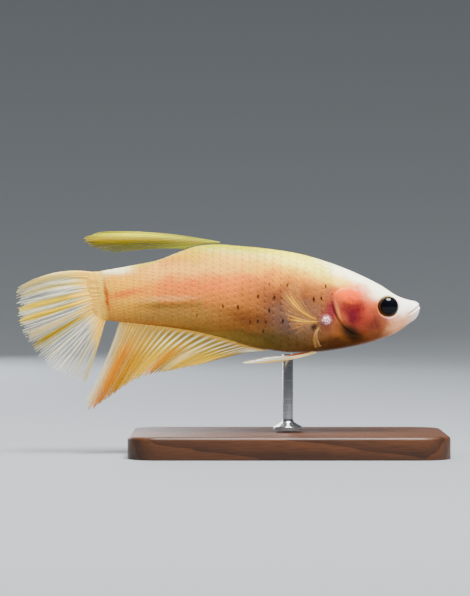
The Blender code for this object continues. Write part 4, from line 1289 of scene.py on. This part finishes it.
# %% Bundles of colour
MILK = np.array((0.88, 0.87, 0.80))
YELLOW, CREAM = np.array((0.70, 0.57, 0.0)), np.array((0.98, 0.86, 0.62))
ORANGE, FLESH = np.array((0.68, 0.37, 0.0)), np.array((0.98, 0.74, 0.26))
TAN, OLIVE, WHITE = np.array((0.80, 0.62, 0.20)), np.array((0.56, 0.47, 0.10)), np.array((1.0, 0.98, 0.90))
HUES = (ORANGE, YELLOW, CREAM)
FRAY = 0.05


def plain(u, colour):
    """One colour for every place."""
    return np.zeros((*u.shape, 3)) + colour


def toward(tint, colour, share):
    return tint + (colour - tint) * np.clip(share, 0, 1)[..., None]


def bundled(u, bundles):
    """How strongly the bundles colour each place, and with which colour."""
    shares = np.stack([strength * bump_at(u - centre, width) for centre, width, strength, _ in bundles])
    hues = np.array([hue for *_, hue in bundles]).reshape(-1, *(1,) * np.ndim(u))
    total = shares.sum(axis=0)
    hue = (shares * hues).sum(axis=0) / (total + 1e-6)
    stops = np.stack(HUES)
    return np.clip(total, 0, 1), np.stack([np.interp(hue, (0, 1, 2), stop) for stop in stops.T], axis=-1)


def frayed(u):
    """How much of the margin is worn away at each place, from 0 to 1."""
    return (0.5 + 0.5 * np.sin(61 * u + 2.1 * np.sin(23 * u))) * (0.5 + 0.5 * np.sin(137 * u + 1.7))


print("the margins are frayed by up to", round(100 * FRAY), "percent of a ray's length")

# %% [markdown]
# The tail is milky and almost clear, with yellow and cream bundles in its upper half and flesh
# colour round its root. Across the anal fin's middle run short white rays on an olive web: partly the
# rays' own pale colour, partly a painted highlight. Orange bundles cross its rear. A cover of 1 or
# more is solid, and less lets the ground through.

# %% Colours of the tail and the anal fin
# Share along the base, half width, strength, and hue: orange at 0, yellow at 1, cream at 2
CAUDAL_BUNDLES = (
    (0.012, 0.020, 0.85, 1.6), (0.065, 0.018, 0.60, 1.5), (0.165, 0.024, 0.95, 1.0), (0.25, 0.027, 0.95, 1.0),
    (0.385, 0.034, 0.90, 1.9), (0.475, 0.026, 0.95, 0.9), (0.535, 0.014, 0.40, 1.2), (0.63, 0.010, 0.35, 2.0),
    (0.76, 0.010, 0.35, 2.0), (0.88, 0.030, 0.25, 1.8), (0.985, 0.022, 0.60, 1.5),
)
ANAL_BUNDLES = (
    (0.125, 0.055, 1.0, 0.15), (0.245, 0.040, 0.95, 0.5), (0.33, 0.040, 0.85, 0.7), (0.42, 0.035, 0.75, 0.9),
    (0.51, 0.032, 0.95, 0.35), (0.62, 0.040, 1.00, 1.8), (0.69, 0.028, 0.75, 1.0), (0.77, 0.035, 0.75, 1.0),
    (0.87, 0.040, 0.45, 1.1),
)


def caudal_tint(u, v):
    gold, colour = bundled(u, CAUDAL_BUNDLES)
    gold = gold * smoothstep(1.3, 0.75, v)
    flesh = smoothstep(0.40, 0.08, v - 0.12 * gold - 0.18 * smoothstep(0.7, 0.95, u))
    tint = toward(toward(plain(u, MILK), colour, 1.2 * gold), FLESH, flesh)
    milky = 0.14 + 0.40 * bump_at(u - 0.06, 0.06) * smoothstep(0.75, 0.4, v)
    return tint, milky + 0.85 * gold + 0.9 * flesh


def anal_tint(u, v):
    gold, colour = bundled(u, ANAL_BUNDLES)
    gold = gold * smoothstep(0.05, 0.45, v) * smoothstep(1.25, 0.9, v)
    tint = toward(plain(u, MILK), TAN, smoothstep(-0.04, 0.08, u))
    tint = toward(tint, colour, 1.2 * gold)
    base = smoothstep(0.16, 0.0, v)
    # The middle band where the rays get a painted highlight, white over their own pale colour, with olive web
    # between
    highlit_band = smoothstep(0.15, 0.42, u) * smoothstep(0.03, 0.12, v) * smoothstep(0.62, 0.25, v)
    on_ray = np.cos(math.pi * ray_phase(u, ANAL_RAYS)) ** 4
    tint = toward(toward(tint, OLIVE, 0.8 * highlit_band * (1 - on_ray)), WHITE, highlit_band * on_ray)
    membrane = 0.30 + 0.32 * smoothstep(0.0, 0.12, u) * smoothstep(1.2, 0.3, v)
    return toward(tint, FLESH, base * 0.7), membrane + 0.65 * gold + 0.4 * base + 0.4 * highlit_band * on_ray


print("coloured bundles:", len(CAUDAL_BUNDLES), "in the tail,", len(ANAL_BUNDLES), "in the anal fin")

# %% [markdown]
# The folded dorsal fin is olive-green, with a lemon streak along its top, amber below it and darker
# lines between the rays.

# %% Colours of the dorsal fin
OLIVE_GREEN, AMBER = np.array((0.52, 0.56, 0.03)), np.array((0.62, 0.50, 0.0))
LEMON, KHAKI = np.array((0.90, 0.91, 0.0)), np.array((0.54, 0.46, 0.0))
# Where the streak and the amber are strongest: along the base, and out along the rays
STREAK_ALONG, STREAK_OUT = 0.14, 0.62
AMBER_ALONG, AMBER_OUT = 0.45, 0.80


def dorsal_tint(u, v):
    streak = bump_at(u - STREAK_ALONG, 0.17) * (0.30 + 0.70 * bump_at(v - STREAK_OUT, 0.32))
    amber = bump_at(u - AMBER_ALONG, 0.20) * (0.40 + 0.60 * bump_at(v - AMBER_OUT, 0.40))
    phase = ray_phase(u, DORSAL_RAYS)
    dark = 0.5 * np.sin(math.pi * phase) ** 2 + 0.35 * np.sin(3.1 * math.pi * phase + 0.6) ** 2
    tint = toward(toward(plain(u, OLIVE_GREEN), AMBER, amber * 0.9), LEMON, 1.1 * streak)
    tint = toward(tint, KHAKI, dark * (1 - 0.4 * streak))
    return tint, 0.34 + 1.1 * streak + 0.7 * amber


_, streak_cover = dorsal_tint(np.array([STREAK_ALONG]), np.array([STREAK_OUT]))
print("the lemon streak's cover is", round(float(streak_cover[0]), 2))

# %% [markdown]
# The pectoral fins are the clearest: two golden bundles, a short brush of hairs below and fine
# lines above are all that shows. The ventral blades are solid instead, cream with a golden middle
# and a rust-red rear edge near the root.

# %% Colours of the paired fins
HONEY, GOLD = np.array((0.70, 0.48, 0.26)), np.array((0.88, 0.66, 0.12))
FAWN, BRONZE = np.array((0.70, 0.52, 0.34)), np.array((0.62, 0.40, 0.16))
STRAW, RUST = np.array((0.94, 0.74, 0.30)), np.array((0.62, 0.26, 0.04))
VENTRAL_COVER = 1.7


def pectoral_tint(u, v):
    bundle = (bump_at(u - 0.18, 0.05) + 0.9 * bump_at(u - 0.42, 0.04)) * smoothstep(1.0, 0.6, v)
    bundle += bump_at(u - 0.97, 0.05) + 0.8 * bump_at(u - 0.875, 0.03)
    tint = toward(plain(u, HONEY), GOLD, bundle)
    tint = toward(tint, FAWN, smoothstep(0.8, 0.95, u))
    upper = smoothstep(0.62, 0.48, u)
    hairs = upper * np.cos(math.pi * ray_phase(u, PECTORAL_RAYS)) ** 2 * smoothstep(1.0, 0.7, v)
    tint = toward(tint, BRONZE, 0.8 * hairs * (1 - bundle))
    return tint, 0.01 + 0.08 * upper + 0.30 * hairs + 0.42 * bundle * (0.45 + 0.55 * upper)


def ventral_tint(u, v):
    tint = toward(plain(u, WHITE), FLESH, smoothstep(0.4, 0.1, v) * 0.5)
    tint = toward(tint, STRAW, smoothstep(0.7, 0.0, u) * bump_at(v - 0.55, 0.35))
    edge = smoothstep(0.72, 0.95, u) * smoothstep(0.75, 0.35, v)
    return toward(tint, RUST, edge), np.full_like(v, VENTRAL_COVER)


print("the ventral blades' cover is", VENTRAL_COVER, "everywhere")

# %% [markdown]
# The clear web lets the ground behind it through. Its alpha follows the cover worked out above,
# broken up by fine lines that run with the rays. Rays are denser and a little glossy, with the
# faint cross joints that bony rays have.

# %% Web and ray materials
LINES_ALONG_RAYS = (90.0, 3.0, 1.0)
JOINT_COLOUR, JOINT_STRENGTH = (0.62, 0.50, 0.34), 0.22


def web_material():
    material, tree, shader = new_material(
        "clear_web", Roughness=0.3, Specular_IOR_Level=0.12, Coat_Weight=0.08, Coat_Roughness=0.12,
        IOR=1.35, Subsurface_Weight=0.25, Subsurface_Radius=(0.9, 0.7, 0.5), Subsurface_Scale=0.0005,
    )
    tree.links.new(stored(tree, "tint", "Color"), shader.inputs["Base Color"])
    unrolled = add_node(tree, "ShaderNodeUVMap", uv_map="OFBake").outputs[0]
    lines = noise(tree, stretched(tree, unrolled, LINES_ALONG_RAYS), 1.0, 3.0)
    broken = ranged(tree, lines, 0.3, 0.7, 0.5, 1.5)
    cover = maths(tree, "MULTIPLY", stored(tree, "cover"), broken, use_clamp=True)
    tree.links.new(cover, shader.inputs["Alpha"])
    emboss(tree, shader, lines, 0.35, 0.00006)
    return material


def ray_material():
    material, tree, shader = new_material(
        "bony_ray", Roughness=0.32, Specular_IOR_Level=0.15, Coat_Weight=0.08, Coat_Roughness=0.15,
        Subsurface_Weight=0.2, Subsurface_Radius=(0.9, 0.7, 0.4), Subsurface_Scale=0.0004,
    )
    turn = maths(tree, "MULTIPLY", stored(tree, "joints"), 2 * math.pi)
    joint = ranged(tree, maths(tree, "COSINE", turn), 0.75, 1.0, 0.0, JOINT_STRENGTH)
    colour = mixed(tree, stored(tree, "tint", "Color"), paint(JOINT_COLOUR), joint)
    tree.links.new(colour, shader.inputs["Base Color"])
    tree.links.new(stored(tree, "cover"), shader.inputs["Alpha"])
    return material


clear_web, bony_ray = web_material(), ray_material()
print("materials:", clear_web.name, bony_ray.name)

# %% [markdown]
# The web is a fine sheet over place(u, v). It ripples a little between the rays, as soft tissue
# does, which gives it satin stripes in the light, and its margin is notched between them and worn.
# Solidify then gives it a real thickness, for a sheet with none would have only one good side.

# %% Weave a web
WEB_THICKNESS = 0.07
RIPPLE = 0.05
MARGIN_NOTCH, MARGIN_THINNING = 0.05, 0.35
MAP_MARGIN = 0.02


def put_colours(mesh, tint, cover):
    colours = np.ones((len(mesh.vertices), 4), np.float32)
    colours[:, :3] = [linear(np.clip(c, 0, 1)) for c in tint.reshape(-1, 3)]
    keep_values(mesh, "tint", colours, "FLOAT_COLOR", "color")
    keep_values(mesh, "cover", cover)


def map_sheet(mesh, u, v):
    """The map OFBake: the sheet laid flat, inside a small margin."""
    on_map = mesh.uv_layers.new(name="OFBake")
    corners = np.zeros(len(mesh.loops), np.int32)
    mesh.loops.foreach_get("vertex_index", corners)
    flat = np.stack([u.reshape(-1), v.reshape(-1)], axis=1)[corners]
    inside = MAP_MARGIN + (1 - 2 * MAP_MARGIN) * flat
    on_map.data.foreach_set("uv", inside.reshape(-1).astype(np.float32))


def web(name, place, tints, rays, columns, rows, replaced):
    u, v = np.meshgrid(np.linspace(0, 1, columns), np.linspace(0, 1, rows), indexing="ij")
    between = np.sin(math.pi * ray_phase(u, rays)) ** 2
    points = place(u, v * (1 - (MARGIN_NOTCH * between + FRAY * frayed(u)) * v))
    points[..., 1] += RIPPLE * np.sin(2 * math.pi * ray_phase(u, rays) * 2) * smoothstep(0.1, 0.5, v)
    mesh = mesh_from(name, points.reshape(-1, 3), grid_faces(columns, rows, closed=False))
    tint, cover = tints(u, v)
    put_colours(mesh, tint, cover * (1 - MARGIN_THINNING * smoothstep(0.9, 1.0, v)))
    map_sheet(mesh, u, v)
    piece = add_piece(name, mesh, clear_web)
    thick = piece.modifiers.new("thickness", "SOLIDIFY")
    thick.thickness = WEB_THICKNESS * MM
    thick.offset = 0.0
    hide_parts(replaced)


print("webs are", WEB_THICKNESS, "mm thick")

# %% [markdown]
# A ray starts as one stem, forks once and, in the tail, forks again. Each stretch is a chain of
# points with its own thickness. Geometry Nodes turn the chains into curves and the curves into
# tubes, so one tree serves all seven fins.

# %% The ray tree
def ray_tree():
    tree, given, out = tree_with_inputs("grow_rays", (
        ("Sides", "NodeSocketInt"), ("Finish", "NodeSocketMaterial"),
    ))
    lines = add_node(tree, "GeometryNodeMeshToCurve", {"Mesh": given["Geometry"]})
    round_one = add_node(tree, "GeometryNodeCurvePrimitiveCircle", {
        "Resolution": given["Sides"], "Radius": 1.0,
    })
    tubes = add_node(tree, "GeometryNodeCurveToMesh", {
        "Curve": lines.outputs[0], "Profile Curve": round_one.outputs[0],
        "Scale": attribute(tree, "thickness"), "Fill Caps": True,
    })
    real = add_node(tree, "GeometryNodeRealizeInstances", {"Geometry": tubes.outputs[0]})
    finished = add_node(tree, "GeometryNodeSetMaterial", {
        "Geometry": real.outputs[0], "Material": given["Finish"],
    })
    tree.links.new(finished.outputs[0], out["Geometry"])
    return tree


grow_rays = ray_tree()
print("ray tree has", len(grow_rays.nodes), "nodes")

# %% [markdown]
# First the stretches are listed: the stem, its two branches and, in the tail, their twigs. Each
# leaves from just inside the end of the last, so no gap shows at a fork. Branches drift apart by
# shares of the spacing between rays, which keeps every fan even.

# %% Where the rays fork
FIRST_FORK, SECOND_FORK = 0.32, 0.66
LATER_FORK = FIRST_FORK + 0.1
BRANCH_SPREAD, TWIG_SPREAD = 0.25, 0.5
FORK_LAP = 0.01


def strands(rays, forks):
    """Share along the base, start, end, side offsets at the two, and level of each stretch."""
    pitch = 1.0 / ray_pitches(rays)
    ends = (FIRST_FORK, SECOND_FORK, 1.0) if forks == 2 else (LATER_FORK, 1.0)
    spread = BRANCH_SPREAD * pitch
    twig_spread = spread * TWIG_SPREAD
    made = []
    for ray in range(rays):
        centre = (ray + RAY_MARGIN) * pitch
        made.append((centre, 0.0, ends[0], 0.0, 0.0, 0))
        for way in (-1, 1):
            branch = way * spread
            made.append((centre, ends[0] - FORK_LAP, ends[1], 0.0, branch, 1))
            for twig in (-1, 1) if forks == 2 else ():
                made.append((centre, ends[1] - FORK_LAP, 1.0, branch, branch + twig * twig_spread, 2))
    return made


print("the tail has", len(strands(CAUDAL_RAYS, 2)), "stretches of ray")

# %% [markdown]
# Each stretch gets points along place(u, v), thick at the root and hair-fine at the tip, with its
# colour and cover. All of a fin's stretches go into one mesh of edges, which the tree turns into
# one piece.

# %% Grow the rays
RAY_SIDES = 7
RAY_STEPS, LEAST_STEPS = 34, 4
STEM_RADIUS, TIP_RADIUS, ROOT_SWELLING = 0.105, 0.04, 0.05
LEVEL_SIZES = (1.0, 0.86, 0.75)
JOINTS_PER_RAY = 26


def rays(name, place, tints, count, forks, stout=1.0, least=0.65, pale=0.0):
    """The rays of a fin: how stout they are, their least cover, and how cream their roots."""
    edges, made = [], []
    for centre, start, end, from_side, to_side, level in strands(count, forks):
        v = np.linspace(start, end, max(LEAST_STEPS, round(RAY_STEPS * (end - start))))
        part = smoothstep(start, start + 0.75 * (end - start), v)
        u = np.clip(centre + from_side + (to_side - from_side) * part, 0.0, 1.0)
        first = sum(len(stretch[0]) for stretch in made)
        edges += [(first + i, first + i + 1) for i in range(len(v) - 1)]
        narrow = STEM_RADIUS + (TIP_RADIUS - STEM_RADIUS) * v**0.7 + ROOT_SWELLING * bump_at(v, 0.14)
        tint, cover = tints(u, v)
        made.append((
            place(u, v * (1 - FRAY * frayed(u) * v)),
            toward(tint, CREAM, pale * smoothstep(0.9, 0.2, v)),
            least + (1 - least) * np.clip(cover, 0, 1),
            narrow * stout * LEVEL_SIZES[level],
            v * JOINTS_PER_RAY,
        ))
    points, tints_of, covers, thick, joints = (np.concatenate(column) for column in zip(*made))
    mesh = bpy.data.meshes.new(name)
    mesh.from_pydata([tuple(p) for p in to_row(points)], edges, [])
    put_colours(mesh, tints_of, covers)
    keep_values(mesh, "thickness", thick * MM)
    keep_values(mesh, "joints", joints)
    grown = applied(add_object(name, mesh), grow_rays, {"Sides": RAY_SIDES, "Finish": bony_ray}, name)
    add_piece(name, grown, bony_ray)


print("rays taper from", 2 * STEM_RADIUS, "to", 2 * TIP_RADIUS, "mm")

# %% [markdown]
# Now every fin is woven and its rays grown. Webs have more columns where a fin has more rays, so
# that the ripples stay smooth. Only the webs replace the model's fins: the rays are a finish on top.

# %% Spread the fins
web("caudal_web", caudal_place, caudal_tint, CAUDAL_RAYS, columns=260, rows=90, replaced="caudal_fin")
rays("caudal_rays", caudal_place, caudal_tint, CAUDAL_RAYS, forks=2)
web("anal_web", anal_place, anal_tint, ANAL_RAYS, columns=400, rows=60, replaced="anal_fin")
rays("anal_rays", anal_place, anal_tint, ANAL_RAYS, forks=1, stout=0.9, pale=0.35)
web("dorsal_web", dorsal_place, dorsal_tint, DORSAL_RAYS, columns=110, rows=70, replaced="dorsal_fin")
rays("dorsal_rays", dorsal_place, dorsal_tint, DORSAL_RAYS, forks=1, stout=0.8, least=0.5)
for way, word in SIDES:
    fan, clear_fin = pectoral_place(way), "pectoral_fin_" + word
    web("pectoral_web_" + word, fan, pectoral_tint, PECTORAL_RAYS, columns=150, rows=50, replaced=clear_fin)
    rays("pectoral_rays_" + word, fan, pectoral_tint, PECTORAL_RAYS, forks=1, stout=0.48, least=0.05)
    blade, slim_fin = ventral_place(way), "ventral_fin_" + word
    web("ventral_web_" + word, blade, ventral_tint, VENTRAL_RAYS, columns=60, rows=60, replaced=slim_fin)
    rays("ventral_rays_" + word, blade, ventral_tint, VENTRAL_RAYS, forks=1, stout=0.9)
print("fins spread")

# %% [markdown]
# The stand is plain on purpose: a small oiled board with eased edges, and a turned steel post
# whose cupped tip meets the belly. The board is redrawn from the model's box with a rounder
# edge, because an edge that catches the light is what makes a small block look real.

# %% The board
BOARD_CORNER, BOARD_EDGE, BOARD_FOOT = 4.0, 0.5, 0.15
board_low, board_high = (np.array(corner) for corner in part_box("stand_base"))


def eased(shape, edges, size, steps):
    bmesh.ops.bevel(shape, geom=edges, offset=size * MM, segments=steps, affect="EDGES", profile=0.5)


def board_mesh():
    shape = bmesh.new()
    size = Matrix.Diagonal((*(board_high - board_low), 1.0))
    place = Matrix.Translation((board_low + board_high) / 2) @ size
    bmesh.ops.create_cube(shape, size=1.0, matrix=place)
    middle = (board_low[2] + board_high[2]) / 2
    upright = [e for e in shape.edges if (e.verts[0].co.z - middle) * (e.verts[1].co.z - middle) < 0]
    eased(shape, upright, BOARD_CORNER, 20)
    eased(shape, [e for e in shape.edges if all(v.co.z > middle for v in e.verts)], BOARD_EDGE, 6)
    foot = [e for e in shape.edges if all(v.co.z < board_low[2] + 1e-6 for v in e.verts)]
    eased(shape, foot, BOARD_FOOT, 2)
    return mesh_of("stand_board", shape)


board_shape = board_mesh()
print("board:", len(board_shape.polygons), "faces")

# %% [markdown]
# Walnut shows its growth rings as long streaks on the face and as arcs on the end, because the
# board is cut along the trunk. So the rings are circles round the heart of the log, which lies
# outside the board, and noise stretched along the fish bends them. Finer noise makes the pores.

# %% The board's wood
HEART_OF_LOG = (0.0, 0.021, -0.016)
LOG_TURN, LOG_TILT, LOG_STRETCH = math.radians(3), math.radians(2), 14.0
RING_WIDTH, RING_DEPTH = 1.4 * MM, 0.45
# A wave texture at scale 1 repeats after this length
WAVE_LENGTH = 2 * math.pi / 20
GRAIN_FINENESS, FIBRE_FINENESS = (40.0, 420.0, 420.0), (400.0, 6000.0, 6000.0)
DARK_WALNUT, LIGHT_WALNUT = (0.17, 0.09, 0.05), (0.36, 0.21, 0.11)
CREASE_ANGLE = math.radians(40)


def growth_rings(tree, place):
    """Dark late wood at the end of each ring, from 0 to 1."""
    heart = add_node(tree, "ShaderNodeMapping", {
        "Vector": place, "Location": HEART_OF_LOG, "Rotation": (0.0, LOG_TILT, LOG_TURN),
        "Scale": (LOG_STRETCH, 1.0, 1.0),
    }, vector_type="TEXTURE")
    return add_node(tree, "ShaderNodeTexWave", {
        "Vector": heart.outputs[0], "Scale": WAVE_LENGTH / RING_WIDTH, "Distortion": 4.0, "Detail": 3.0,
        "Detail Scale": 1.2, "Detail Roughness": 0.55,
    }, wave_type="RINGS", rings_direction="X", wave_profile="SAW").outputs["Fac"]


def board_material():
    material, tree, shader = new_material(
        "oiled_walnut", Roughness=0.5, Specular_IOR_Level=0.3, Coat_Weight=0.08, Coat_Roughness=0.25,
    )
    place = own_place(tree)
    grain = noise(tree, stretched(tree, place, GRAIN_FINENESS), 1.0, 6.0)
    pores = noise(tree, stretched(tree, place, FIBRE_FINENESS), 1.0, 3.0)
    both = maths(tree, "MULTIPLY_ADD", growth_rings(tree, place), RING_DEPTH, grain)
    colour = mixed(tree, paint(DARK_WALNUT), paint(LIGHT_WALNUT), ranged(tree, both, 0.32, 1.18))
    fine = ranged(tree, pores, 0.35, 0.6, 0.72, 1.0)
    tree.links.new(mixed(tree, colour, fine, 1.0, "MULTIPLY"), shader.inputs["Base Color"])
    emboss(tree, shader, pores, 0.3, 0.00005)
    return material


board = add_piece("stand_board", board_shape, board_material())
board.data.set_sharp_from_angle(angle=CREASE_ANGLE)
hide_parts("stand_base")
print("board:", np.round((board_high - board_low) / MM, 1).tolist(), "mm")

# %% [markdown]
# The post is turned on a lathe in real life, so it is turned here too: one profile of radii and
# heights, swung round the upright axis. The profile has a cupped tip, a plain shank, a hollow
# fillet and a flange with a rounded rim. The lathe's ring marks are noise squeezed along the axis.

# %% The post
POST_RADIUS, POST_EASE = 0.7, 0.12
CUP_RADIUS, CUP_DEPTH, CUP_MIDDLE_DEPTH, LIP_DROP = 0.3, 0.2, 0.25, 0.03
FLANGE_RADIUS, FLANGE_HEIGHT, FLANGE_EASE_OUT, FLANGE_EASE_UP = 1.9, 0.8, 0.15, 0.12
FILLET_OUT, FILLET_DROP = 0.35, 0.6
POST_SIDES = 64
LATHE_MARKS = (40.0, 40.0, 9000.0)


def post_profile():
    """Radius and height from the top down: a cupped tip, a plain shank, a stepped flange."""
    top, foot = rod_high[2] / MM, rod_low[2] / MM
    shank_end = foot + 1.5 * FLANGE_HEIGHT + 0.3
    rim_level = foot + 0.6 * FLANGE_HEIGHT - FLANGE_EASE_UP
    cup = [(0.0, top - CUP_MIDDLE_DEPTH), (CUP_RADIUS, top - CUP_DEPTH)]
    lip = [(POST_RADIUS - POST_EASE, top), (POST_RADIUS - LIP_DROP, top - LIP_DROP)]
    shank = [(POST_RADIUS, top - POST_EASE), (POST_RADIUS, shank_end)]
    fillet = [
        (POST_RADIUS + FILLET_OUT * (1 - math.cos(t)), shank_end - FILLET_DROP * math.sin(t))
        for t in np.linspace(0, math.pi / 2, 8)[1:]
    ]
    rim_start = FLANGE_RADIUS - FLANGE_EASE_OUT
    rim = [
        (rim_start + FLANGE_EASE_OUT * math.sin(t), rim_level + FLANGE_EASE_UP * math.cos(t))
        for t in np.linspace(0, math.pi / 2, 6)
    ]
    return cup + lip + shank + fillet + rim + [(FLANGE_RADIUS, foot), (0.0, foot)]


def post_mesh():
    profile = post_profile()
    rings = profile[1:-1]
    points = turned(rings, POST_SIDES) + [(0.0, 0.0, profile[0][1]), (0.0, 0.0, profile[-1][1])]
    last_ring, top = (len(rings) - 1) * POST_SIDES, len(points) - 2
    faces = whole_numbers(grid_faces(len(rings), POST_SIDES, closed=True))
    faces += cap_faces(0, POST_SIDES, top) + cap_faces(last_ring, POST_SIDES, top + 1)
    mesh = bpy.data.meshes.new("stand_post")
    middle = np.array((rod_middle[0], rod_middle[1], 0.0))
    mesh.from_pydata([tuple(np.array(p) * MM + middle) for p in points], [], faces)
    turn_out(mesh)
    return mesh


def steel_material():
    material, tree, shader = new_material(
        "turned_steel", Metallic=1.0, Roughness=0.24, Base_Color=(0.62, 0.62, 0.63, 1.0),
    )
    marks = noise(tree, stretched(tree, own_place(tree), LATHE_MARKS), 1.0, 2.0)
    tree.links.new(ranged(tree, marks, 0.0, 1.0, 0.16, 0.34), shader.inputs["Roughness"])
    return material


post = add_piece("stand_post", post_mesh(), steel_material())
post.data.set_sharp_from_angle(angle=CREASE_ANGLE)
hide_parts("stand_rod")
print("post stands", round(float(rod_high[2] - rod_low[2]) / MM, 1), "mm tall")

# %% [markdown]
# The camera stands where the photograph was taken from: square to the fish's right side, with a
# long lens and the same framing. The lens length follows from the distance and from how many
# millimetres the photograph is tall.

# %% Camera
FRAME_CENTRE = (235.0, 298.0)
FRAME_HEIGHT_PIXELS = 596.0
CAMERA_DISTANCE, CAMERA_RISE = 0.36, 0.004
SENSOR = 36.0


def aim(thing, place, target):
    thing.location = place
    thing.rotation_euler = (Vector(target) - Vector(place)).to_track_quat("-Z", "Y").to_euler()


centre_station, centre_height = at_pixel(*FRAME_CENTRE)
looked_at = to_row((centre_station, 0.0, centre_height))
lens = bpy.data.cameras.new("photo_view")
lens.sensor_width = SENSOR
lens.lens = SENSOR * CAMERA_DISTANCE / (FRAME_HEIGHT_PIXELS * PIXEL * MM)
lens.clip_start, lens.clip_end = 0.01, 20.0
camera = add_object("photo_view", lens)
aim(camera, (looked_at[0], -CAMERA_DISTANCE, looked_at[2] + CAMERA_RISE), looked_at)
bpy.context.scene.camera = camera
print("lens:", round(lens.lens), "mm")

# %% [markdown]
# A soft light above models the back, a weaker one fills from the front, and a small one brightens
# the snout. A low one from behind shines through the clear webs, which is what makes them glow. The
# fills are kept out of reflections, so that the wet eyes show one clean light.

# %% Lights
# Name, place, size, power, colour, and whether it shows in reflections
LIGHTS = (
    ("sky", (0.03, -0.10, 0.34), 0.20, 5.6, (1.0, 0.99, 0.97), True),
    ("front_fill", (0.25, -0.40, 0.12), 0.30, 1.5, (1.0, 0.97, 0.94), False),
    ("snout_fill", (0.30, -0.14, 0.03), 0.12, 0.45, (1.0, 0.98, 0.95), False),
    ("rear_glow", (-0.14, 0.30, 0.12), 0.24, 1.2, (0.96, 0.98, 1.0), True),
)
FISH_MIDDLE_STATION = 20.0
fish_middle = tuple(to_row((FISH_MIDDLE_STATION, 0.0, 0.0)))
for name, place, size, power, colour, shines in LIGHTS:
    data = bpy.data.lights.new(name, "AREA")
    data.shape, data.size, data.energy, data.color = "DISK", size, power, colour
    light = add_object(name, data)
    light.visible_glossy = shines
    aim(light, place, fish_middle)
print(len(LIGHTS), "lights, the strongest the", max(LIGHTS, key=lambda light: light[3])[0])

# %% [markdown]
# The floor is one pale bowl that curves up far behind on every side, so no horizon cuts the
# picture from any view. It is part of the stage, not of the object.

# %% Floor and backdrop
FLOOR_REACH, BOWL_REACH, BOWL_HEIGHT = 0.34, 1.0, 0.75
BOWL_SIDES, BOWL_STEPS = 96, 28
PAPER_GREY = (0.49, 0.51, 0.53)
ROOM_COLOUR, ROOM_STRENGTH = (0.86, 0.90, 0.95, 1.0), 0.2


def backdrop_mesh():
    bend = [
        (FLOOR_REACH + (BOWL_REACH - FLOOR_REACH) * math.sin(t), BOWL_HEIGHT * (1 - math.cos(t)))
        for t in np.linspace(0, math.pi / 2, BOWL_STEPS)
    ]
    faces = whole_numbers(grid_faces(len(bend), BOWL_SIDES, closed=True))
    faces.append(tuple(range(BOWL_SIDES)))
    mesh = bpy.data.meshes.new("backdrop")
    mesh.from_pydata(turned(bend, BOWL_SIDES), [], faces)
    turn_out(mesh)
    mesh.shade_smooth()
    return mesh


paper, _, _ = new_material("pale_paper", Base_Color=paint(PAPER_GREY), Roughness=0.9)
backdrop = add_object("backdrop", backdrop_mesh())
backdrop.data.materials.append(paper)
world = bpy.data.worlds.new("soft_room")
world.use_nodes = True
room = world.node_tree.nodes["Background"]
room.inputs["Color"].default_value = ROOM_COLOUR
room.inputs["Strength"].default_value = ROOM_STRENGTH
bpy.context.scene.world = world
print("backdrop laid, a bowl", 2 * BOWL_REACH, "m across")
